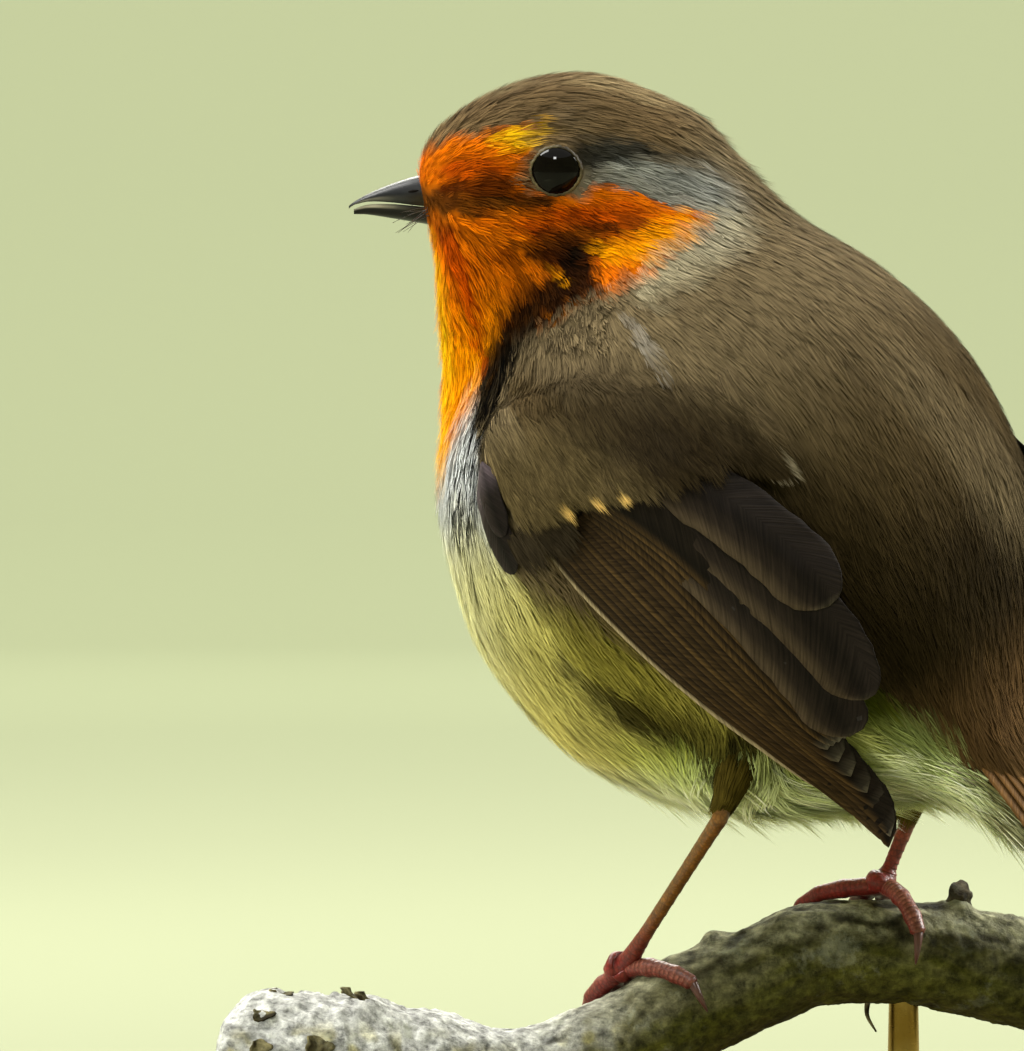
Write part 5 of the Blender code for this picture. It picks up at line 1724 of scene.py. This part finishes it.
def makeCutEnd(centres, radius):
    # a disc of pale wood with growth rings
    wood, tree, place = newMaterial("sawn twig end", {"Roughness": 0.7})
    shift = addNode(tree, "VectorMath", {"operation": "SUBTRACT", 0: place, 1: tuple(centres[0] * mm)})
    away = addNode(tree, "VectorMath", {"operation": "LENGTH", 0: shift}).outputs["Value"]
    bent = addMath(tree, "MULTIPLY_ADD", addNoise(tree, place, 260.0, 4.0), 0.0006, away)
    years = addMath(tree, "SINE", addMath(tree, "MULTIPLY", bent, 7800.0))
    wire(wood, addTones(tree, years, "#c7a878", "#8d6a3f"))
    outwards = unit(centres[0] - centres[3])
    disc = cylinder("perch_cut_end", 96, radius * 0.86, 0.5, centres[0] + outwards * -0.12,
                    rotation=Vector(outwards).to_track_quat("Z", "Y").to_euler())
    bake(disc, "BEVEL", width=0.00018, segments=2, limit_method="ANGLE")
    settle(disc)
    finishPiece(disc, wood, "bark")


def makeFlake(spot, along, aside, away, size, number):
    # a curled square of loose bark
    places = np.arange(49).reshape(7, 7)
    b, a = np.meshgrid((np.arange(7) / 6 - 0.5) * 2, (np.arange(7) / 6 - 0.5) * 2)
    edge = size * (0.8 + 0.2 * np.sin(3 * np.arctan2(b, a) + number))
    square = edge / np.maximum(1, (a * a + b * b) ** 0.5 * 1.1)
    curl = 0.10 + 0.45 * size * np.maximum(0.0, a) ** 2
    grid = spot + along * (a * square)[..., None] + aside * (b * square * 0.7)[..., None]
    grid = grid + away * curl[..., None]
    p, q, r, s = (v.ravel() for v in (places[:-1, :-1], places[:-1, 1:], places[1:, 1:], places[1:, :-1]))
    faces = np.concatenate([np.stack([p, q, r], 1), np.stack([p, r, s], 1)])
    flake = meshFrom("part", grid.reshape(-1, 3), faces)
    bake(flake, "SOLIDIFY", thickness=0.00018, offset=0.0)
    return flake


def makeKnots():
    # a dead stub on top, a thin thorn below, and curled flakes on the burr
    dice = np.random.default_rng(61)
    run, turn = runAtAcross(24.8), turns(28)
    stub = [onPerch(run, -0.1, -1.6), onPerch(run + 0.1, -0.11, 0.5), onPerch(run + 0.1, -0.12, 2.0)]
    stub = resample(stub, 22)
    width = 1.9 - 0.75 * np.linspace(0, 1, 22) ** 0.5 + 0.08 * np.sin(np.linspace(0, 16, 22))
    rings = tubeRings(stub, width, 28)
    jagged = 0.55 * np.sin(turn + 0.6) + 0.2 * np.sin(3 * turn) + 0.05 * np.sin(8 * turn + 1.0)
    rings[-12:, :, 2] += np.linspace(0, 1, 12)[:, None] * jagged[None]
    rings[..., :2] += 0.12 * np.sin(5 * turn)[None, :, None] * unit(rings - stub[:, None])[..., :2]
    run = runAtAcross(16.1)
    thorn = [onPerch(run, math.pi, -0.6), onPerch(run + 0.1, math.pi * 0.99, 1.2),
             onPerch(run - 0.9, math.pi, 3.0)]
    thorn = resample(thorn, 14)
    pieces = [tubeMesh("part", rings), tubeMesh("part", tubeRings(thorn, np.linspace(0.36, 0.10, 14), 12))]
    for number in range(15):
        run, angle = runAtAcross(dice.uniform(-52, -32)), math.radians(dice.uniform(-75, 60))
        spot = onPerch(run, angle, 0.15)
        away, along = unit(spot - onPerch(run, angle, -3)), unit(onPerch(run + 1, angle, 0.15) - spot)
        pieces.append(makeFlake(spot, along, np.cross(away, along), away, dice.uniform(0.9, 2.2), number))
    piece = joinPieces(pieces, "perch_knots_flakes")
    points = surfaceOf(piece)[0]
    flake, shade, stub = (linear(perchPlan[key]) for key in ("flake", "shade", "stub"))
    tint = np.repeat(flake[None], len(points), axis=0)
    tint = blend(tint, shade, smoothStep(0.2, -0.3, wobble(points, 1.0, 31)))
    paint(piece, blend(tint, stub, 0.85 * (points @ acrossWay > 20)))
    finishPiece(piece, bark, "bark")


bark = barkMaterial()
barkCentres, barkRadii = makeBark()
makeCutEnd(barkCentres, barkRadii[0])
makeKnots()
print("perch")


# ---------- legs and feet

footPlan = {
    "left": {"across": -6.5, "ankle": (9.5, -16.1, -33.9), "thigh": (14.5, -15.5, -20.0)},
    "right": {"across": 17.7, "ankle": (17.2, 11.6, -35.2), "thigh": (19.6, 12.6, -23.0)},
    "gap": 0.35, "palmHalf": 1.15, "tarsus": 0.80, "heel": 1.4,
    "widths": (1.0, 1.12, 1.12, 1.05, 0.98, 0.95, 0.95, 1.0, 1.5, 2.4, 1.9),
    # pale is the colour of the painted highlight on the toes
    "upper": "#704818", "low": "#6b2f1a", "foot": "#6a201a", "pale": "#b98870",
    # each toe as (left, right): how far it runs along the perch and how far round it, in degrees
    "toes": {
        "hind": {"along": (5.4, 3.2), "round": (-70.0, -70.0), "lead": 1.1, "claw": -36.0,
                 "joints": (0.45, 0.78)},
        "outer": {"along": (-6.4, -8.2), "round": (66.0, 54.0), "lead": 1.5, "claw": 26.0,
                  "joints": (0.35, 0.6, 0.82)},
        "middle": {"along": (-4.4, -4.8), "round": (104.0, 100.0), "lead": 1.15, "claw": 30.0,
                   "joints": (0.3, 0.58, 0.82)},
        "inner": {"along": (0.9, 1.0), "round": (88.0, 86.0), "lead": 1.0, "claw": 27.0,
                  "joints": (0.4, 0.75)},
    },
}


footRuns = {side: runAtAcross(footPlan[side]["across"]) for side in ("left", "right")}
legTints = {key: linear(footPlan[key]) for key in ("upper", "low", "foot", "pale")}


def ankleOf(side):
    # the ankle, and the way the shin comes down to it
    ankle, thigh = (np.array(footPlan[side][key]) for key in ("ankle", "thigh"))
    return ankle + (0, 0, trunk), unit(ankle - thigh)


def legMaterial():
    # Podotheca: horny skin in overlapping scutes, thin enough to let the flesh show warm, with a waxy gloss.
    made, tree, place = newMaterial("waxy leg scutes",
                                    {"Roughness": 0.42, "IOR": 1.5, "Subsurface Weight": 0.12,
                                     "Subsurface Scale": 0.0006})
    cells = addNode(tree, "TexVoronoi", {"feature": "DISTANCE_TO_EDGE", "Vector": place, "Scale": 1900.0})
    seams = addSpan(tree, cells, 0.0, 0.22, 0.6, 1.1)
    vary = addSpan(tree, addNoise(tree, place, 750.0, 4.0), 0.3, 0.7, 0.75, 1.25)
    colour = addNode(tree, "VertexColor", {"layer_name": "coatColour"})
    return wire(made, addScaled(tree, colour, addMath(tree, "MULTIPLY", seams, vary)), cells, 0.6, 0.00012)


def toePath(side, name, share, lift):
    # a point over a toe's line; a share above 1 is on its claw
    toe, inside, which = footPlan["toes"][name], min(share, 1.0), side == "right"
    along = toe["along"][which] * (1 - (1 - inside) ** toe["lead"])
    angle = toe["round"][which] * inside ** toe["lead"] + toe["claw"] * (share - inside)
    return onPerch(footRuns[side] - along, math.radians(angle), lift)


def makeShank(side, scutes):
    # from inside the feathers to the ball of the foot
    ankle, shin = ankleOf(side)
    half = footPlan["palmHalf"]
    palm = onPerch(footRuns[side], 0.0, footPlan["gap"] + half)
    down = unit(onPerch(footRuns[side], 0.0, 0.0) - palm)
    heel = ankle + shin * (footPlan["gap"] + footPlan["heel"])
    shank = unit(palm - heel)
    begin, end = heel + shank * footPlan["heel"], palm - shank * half
    path = [ankle - shin * 2.4, ankle + shin * footPlan["gap"], heel]
    path += [begin + (end - begin) * t for t in np.linspace(0, 1, 6)]
    path += [palm - down * half * 0.3, palm + down * half * 0.55]
    rows = resample(np.column_stack([path, np.array(footPlan["widths"]) * footPlan["tarsus"]]), 190)
    line, turn = rows[:, :3], turns(36)
    run = lengthsAlong(line)
    left = run[-1] - run
    # scutes: each one stands out at its lower edge; short near the foot and long up the shank
    spacing = 0.62 + 1.5 * smoothStep(3.0, 9.0, left)
    step = np.concatenate([[0], np.cumsum(np.diff(run) / spacing[1:])]) % 1.0
    ridge = 0.10 * step ** 2.5 * (0.55 + 0.45 * smoothStep(8, 2, left)) * smoothStep(0.2, 2.0, left)
    oval, profile = np.cos(2 * turn), np.maximum(0.35, 0.5 + 0.5 * np.cos(turn - math.pi / 2))
    radii = rows[:, 3:4] * (1 + 0.02 * oval) + ridge[:, None] * profile
    radii *= 1 + 0.05 * oval * smoothStep(6, 10, left)[:, None]
    start = np.cross(unit(np.gradient(line, axis=0))[60], unit(-depthWay * 0.2 - acrossWay))
    piece = tubeMesh(f"leg_{side}_shank", tubeRings(line, radii, len(turn), start=start))
    tint = mix(legTints["upper"], legTints["low"], smoothStep(14, 6, left)[:, None])
    tint = mix(tint, legTints["foot"], smoothStep(9.0, 2.0, left)[:, None])
    tint = tint * (0.72 + 0.5 * step[:, None] ** 0.7)
    paintTube(piece, np.repeat(tint[:, None], len(turn), axis=1))
    finishPiece(piece, scutes, "leg_scales", "tarsus_" + side)


def makeToe(side, name, scutes, horn):
    turn, shares = turns(22), np.linspace(0.02, 1.0, 96)
    line = np.array([toePath(side, name, s, 1.35 - 0.25 * s + 0.5 * max(0, 0.25 - s)) for s in shares])
    # swollen at its joints, and rounded off under the claw
    base = 1.08 - 0.22 * shares
    joints = footPlan["toes"][name]["joints"]
    base += 0.13 * np.sum([np.exp(-((shares - joint) / 0.055) ** 2) for joint in joints], axis=0)
    base *= np.sqrt(np.clip((1.03 - shares) / 0.06, 0.05, 1.0)) * np.where(shares < 0.1, 0.9 + shares, 1.0)
    step = ((lengthsAlong(line) / 0.58) % 1.0)[:, None]
    ways = np.array([toePath(side, name, s, 4.0) for s in shares]) - line
    ahead = unit(np.gradient(line, axis=0))
    upward = unit(ways - ahead * (ways * ahead).sum(axis=1, keepdims=True))
    aside = np.cross(ahead, upward)
    bulge = base[:, None] + 0.055 * step ** 2 * np.clip(np.cos(turn), 0, 1)
    pad = 0.10 * np.clip(-np.cos(turn), 0, 1) * np.abs(np.sin(shares * 11))[:, None]
    rings = (line[:, None] + upward[:, None] * (np.cos(turn) * (bulge + pad) * 0.92)[..., None]
             + aside[:, None] * (np.sin(turn) * bulge)[..., None])
    piece = tubeMesh(f"toe_{side}_{name}_scutes", rings)
    # a painted highlight along each toe's outer side, away from the branch, in the pale colour
    light = np.clip(np.cos(turn), 0, 1)[None, :, None] * 0.35
    tint = mix(legTints["foot"], legTints["pale"], light * (0.4 + 0.6 * step[..., None]))
    paintTube(piece, tint * (0.75 + 0.45 * step[..., None]) * (1.05 - 0.25 * shares[:, None, None]))
    finishPiece(piece, scutes, "leg_scales", f"toe_{side}_{name}")
    shares = np.linspace(0.0, 1.0, 22)
    line = np.array([toePath(side, name, 0.985 + 0.82 * s, 1.1 - 0.6 * s + 0.42 * math.sin(math.pi * s))
                     for s in shares])
    piece = tubeMesh(f"claw_{side}_{name}_horn", tubeRings(line, 0.50 * (1 - shares) ** 0.75 + 0.05, 16))
    finishPiece(piece, horn, "claw_horn", f"claw_{side}_{name}")


def makeLegs():
    scutes = legMaterial()
    # Claw keratin: horn, smooth along its length and semi-gloss.
    horn = speckled("curved claw keratin", 900.0, "#2c1814", "#67443a", {"Roughness": 0.34, "IOR": 1.5})
    for side in ("left", "right"):
        makeShank(side, scutes)
        for name in footPlan["toes"]:
            makeToe(side, name, scutes, horn)


makeLegs()

cuffPlan = {"half": 0.7, "depth": 0.3, "strands": 13, "fine": 0.075, "spread": 0.8, "clump": 0.6,
            "strandVary": 0.25, "tuftVary": 0.12, "tipLight": 0.3, "count": 190, "step": 1.15,
            "near": "#2a2308", "far": "#574a1c", "along": (-9.0, -5.0, -2.0, 0.0, 3.5),
            "radius": (2.6, 2.3, 1.6, 1.1, 0.86)}


def growCuffs():
    # short feathers that lie down the leg and close in on it just below its upper joint
    dice = np.random.default_rng(85)
    count, parts = cuffPlan["count"], []
    for side in ("left", "right"):
        ankle, shin = ankleOf(side)
        shank = unit(onPerch(footRuns[side], 0.0, 1.5) - ankle)
        start, turn = dice.uniform(-7.5, -1.8, count), dice.uniform(0, 2 * math.pi, count)
        ahead = np.cross(shin, (0, 1.0, 0))
        out = np.cos(turn)[:, None] * unit(ahead) + np.sin(turn)[:, None] * unit(np.cross(shin, ahead))
        stations = []
        for along in (start + k * cuffPlan["step"] for k in range(5)):
            line = ankle + np.where(along[:, None] < 0, shin, shank) * along[:, None]
            stations.append(line + out * np.interp(along, cuffPlan["along"], cuffPlan["radius"])[:, None])
        parts.append((np.array(stations), np.repeat(out[None], 5, axis=0)))
    stations, ups = (np.concatenate(part, axis=1) for part in zip(*parts))
    near, far = (np.repeat(linear(cuffPlan[key])[None], 2 * count, axis=0) for key in ("near", "far"))
    obj = layTufts("feathers_cuffs", (stations, ups, unit(np.gradient(stations, axis=0))), near, far,
                   evenStyle(cuffPlan, 2 * count), 86)
    finishPiece(obj, featherCoat, "brown_feathers")


growCuffs()
print("legs and feet")


# ---------- display stand

# a rod's turned rings are heights above its foot, with how much wider it is there
standPlan = {"radius": 56.0, "height": 8.0, "rod": 1.6, "collar": 3.4,
             "rings": ((3.4, 1.0), (3.8, 1.16), (4.6, 1.16), (5.0, 1.0))}


def standMaterials():
    # Turned walnut: fine straight grain under a satin oil finish.
    wood, tree, place = newMaterial("oiled walnut turning", {"Roughness": 0.6, "Specular IOR Level": 0.25})
    lean = (0.0, 0.03, 0.5)
    figure = addNoise(tree, addStretch(tree, place, (14.0, 160.0, 160.0), lean), 1.0, 6.0, 0.6, 0.6)
    pores = addNoise(tree, addStretch(tree, place, (110.0, 2600.0, 2600.0), lean), 1.0, 3.0)
    tone = addTones(tree, figure, "#2f1c10", "#6d462a", (0.34, 0.68))
    wire(wood, addScaled(tree, tone, addSpan(tree, pores, 0.35, 0.5, 0.6, 1.0)), pores, 0.15, 0.0001)
    # Drawn brass rod: bright metal with faint scratches round it and a slight tarnish.
    brass, tree, place = newMaterial("drawn brass rod", {"Metallic": 1.0, "Roughness": 0.3})
    lines = addNoise(tree, addStretch(tree, place, (900.0, 900.0, 9000.0)), 1.0, 2.0)
    wire(brass, addTones(tree, addNoise(tree, place, 120.0, 4.0), "#a5813c", "#cfae68", (0.35, 0.65)))
    rough = addSpan(tree, lines, 0.0, 1.0, 0.2, 0.42)
    tree.links.new(rough.outputs[0], tree.nodes["Principled BSDF"].inputs["Roughness"])
    return wood, brass


def makeBase(wood):
    high = standPlan["height"]
    base = cylinder("stand_base_turning", 160, standPlan["radius"], high, (0, 0, high / 2))
    editMode(True)
    mesh = bmesh.from_edit_mesh(base.data)
    for face in mesh.faces:
        face.select_set(face.normal.z > 0.9)
    bmesh.update_edit_mesh(base.data)
    # a turned top: a narrow bead at the rim, then a shallow cove up to the flat
    for inset, drop in ((2.2, 0.0), (0.5, -0.7), (1.2, 0.0), (0.5, 0.7)):
        bpy.ops.mesh.inset(thickness=inset * mm, depth=0)
        bpy.ops.transform.translate(value=(0, 0, drop * mm))
    editMode(False)
    bake(base, "BEVEL", width=0.0009, segments=4, limit_method="ANGLE", angle_limit=math.radians(35))
    bpy.ops.object.shade_smooth_by_angle(angle=math.radians(35))
    settle(base)
    finishPiece(base, wood, "stand_wood", "stand_base")


def makeRod(name, brass):
    low, high = (np.array(v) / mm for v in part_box(name))
    x, y, z = (low + high) / 2
    rod = cylinder(name + "_brass", 48, standPlan["rod"], high[2] - low[2] + 1.0, (x, y, z + 0.3))
    editMode(True)
    for height, swell in standPlan["rings"]:
        ring = (x * mm, y * mm, (low[2] + height) * mm)
        bpy.ops.mesh.select_all(action="SELECT")
        bpy.ops.mesh.bisect(plane_co=ring, plane_no=(0, 0, 1))
        if swell > 1:
            bpy.ops.transform.resize(value=(swell, swell, 1), center_override=ring)
    editMode(False)
    bpy.ops.object.shade_smooth_by_angle(angle=math.radians(40))
    settle(rod)
    collar = cylinder("collar", 64, standPlan["collar"], 1.6, (x, y, standPlan["height"] + 0.7))
    bake(collar, "BEVEL", width=0.0005, segments=3, limit_method="ANGLE", angle_limit=math.radians(40))
    bpy.ops.object.shade_smooth_by_angle(angle=math.radians(35))
    settle(collar)
    finishPiece(joinPieces([rod, collar], name + "_brass"), brass, "stand_brass", name)


standWood, standBrass = standMaterials()
makeBase(standWood)
for rodName in ("stand_rod_front", "stand_rod_back"):
    makeRod(rodName, standBrass)
print("stand")


def dressSkin():
    colours = markingsAndShading(skinPoints) * 0.75
    paint(skin, colours)
    layOut(skin, unwrapPlaces(skinPoints))
    finishPiece(skin, featherCoat, "brown_feathers", *flesh)


dressSkin()
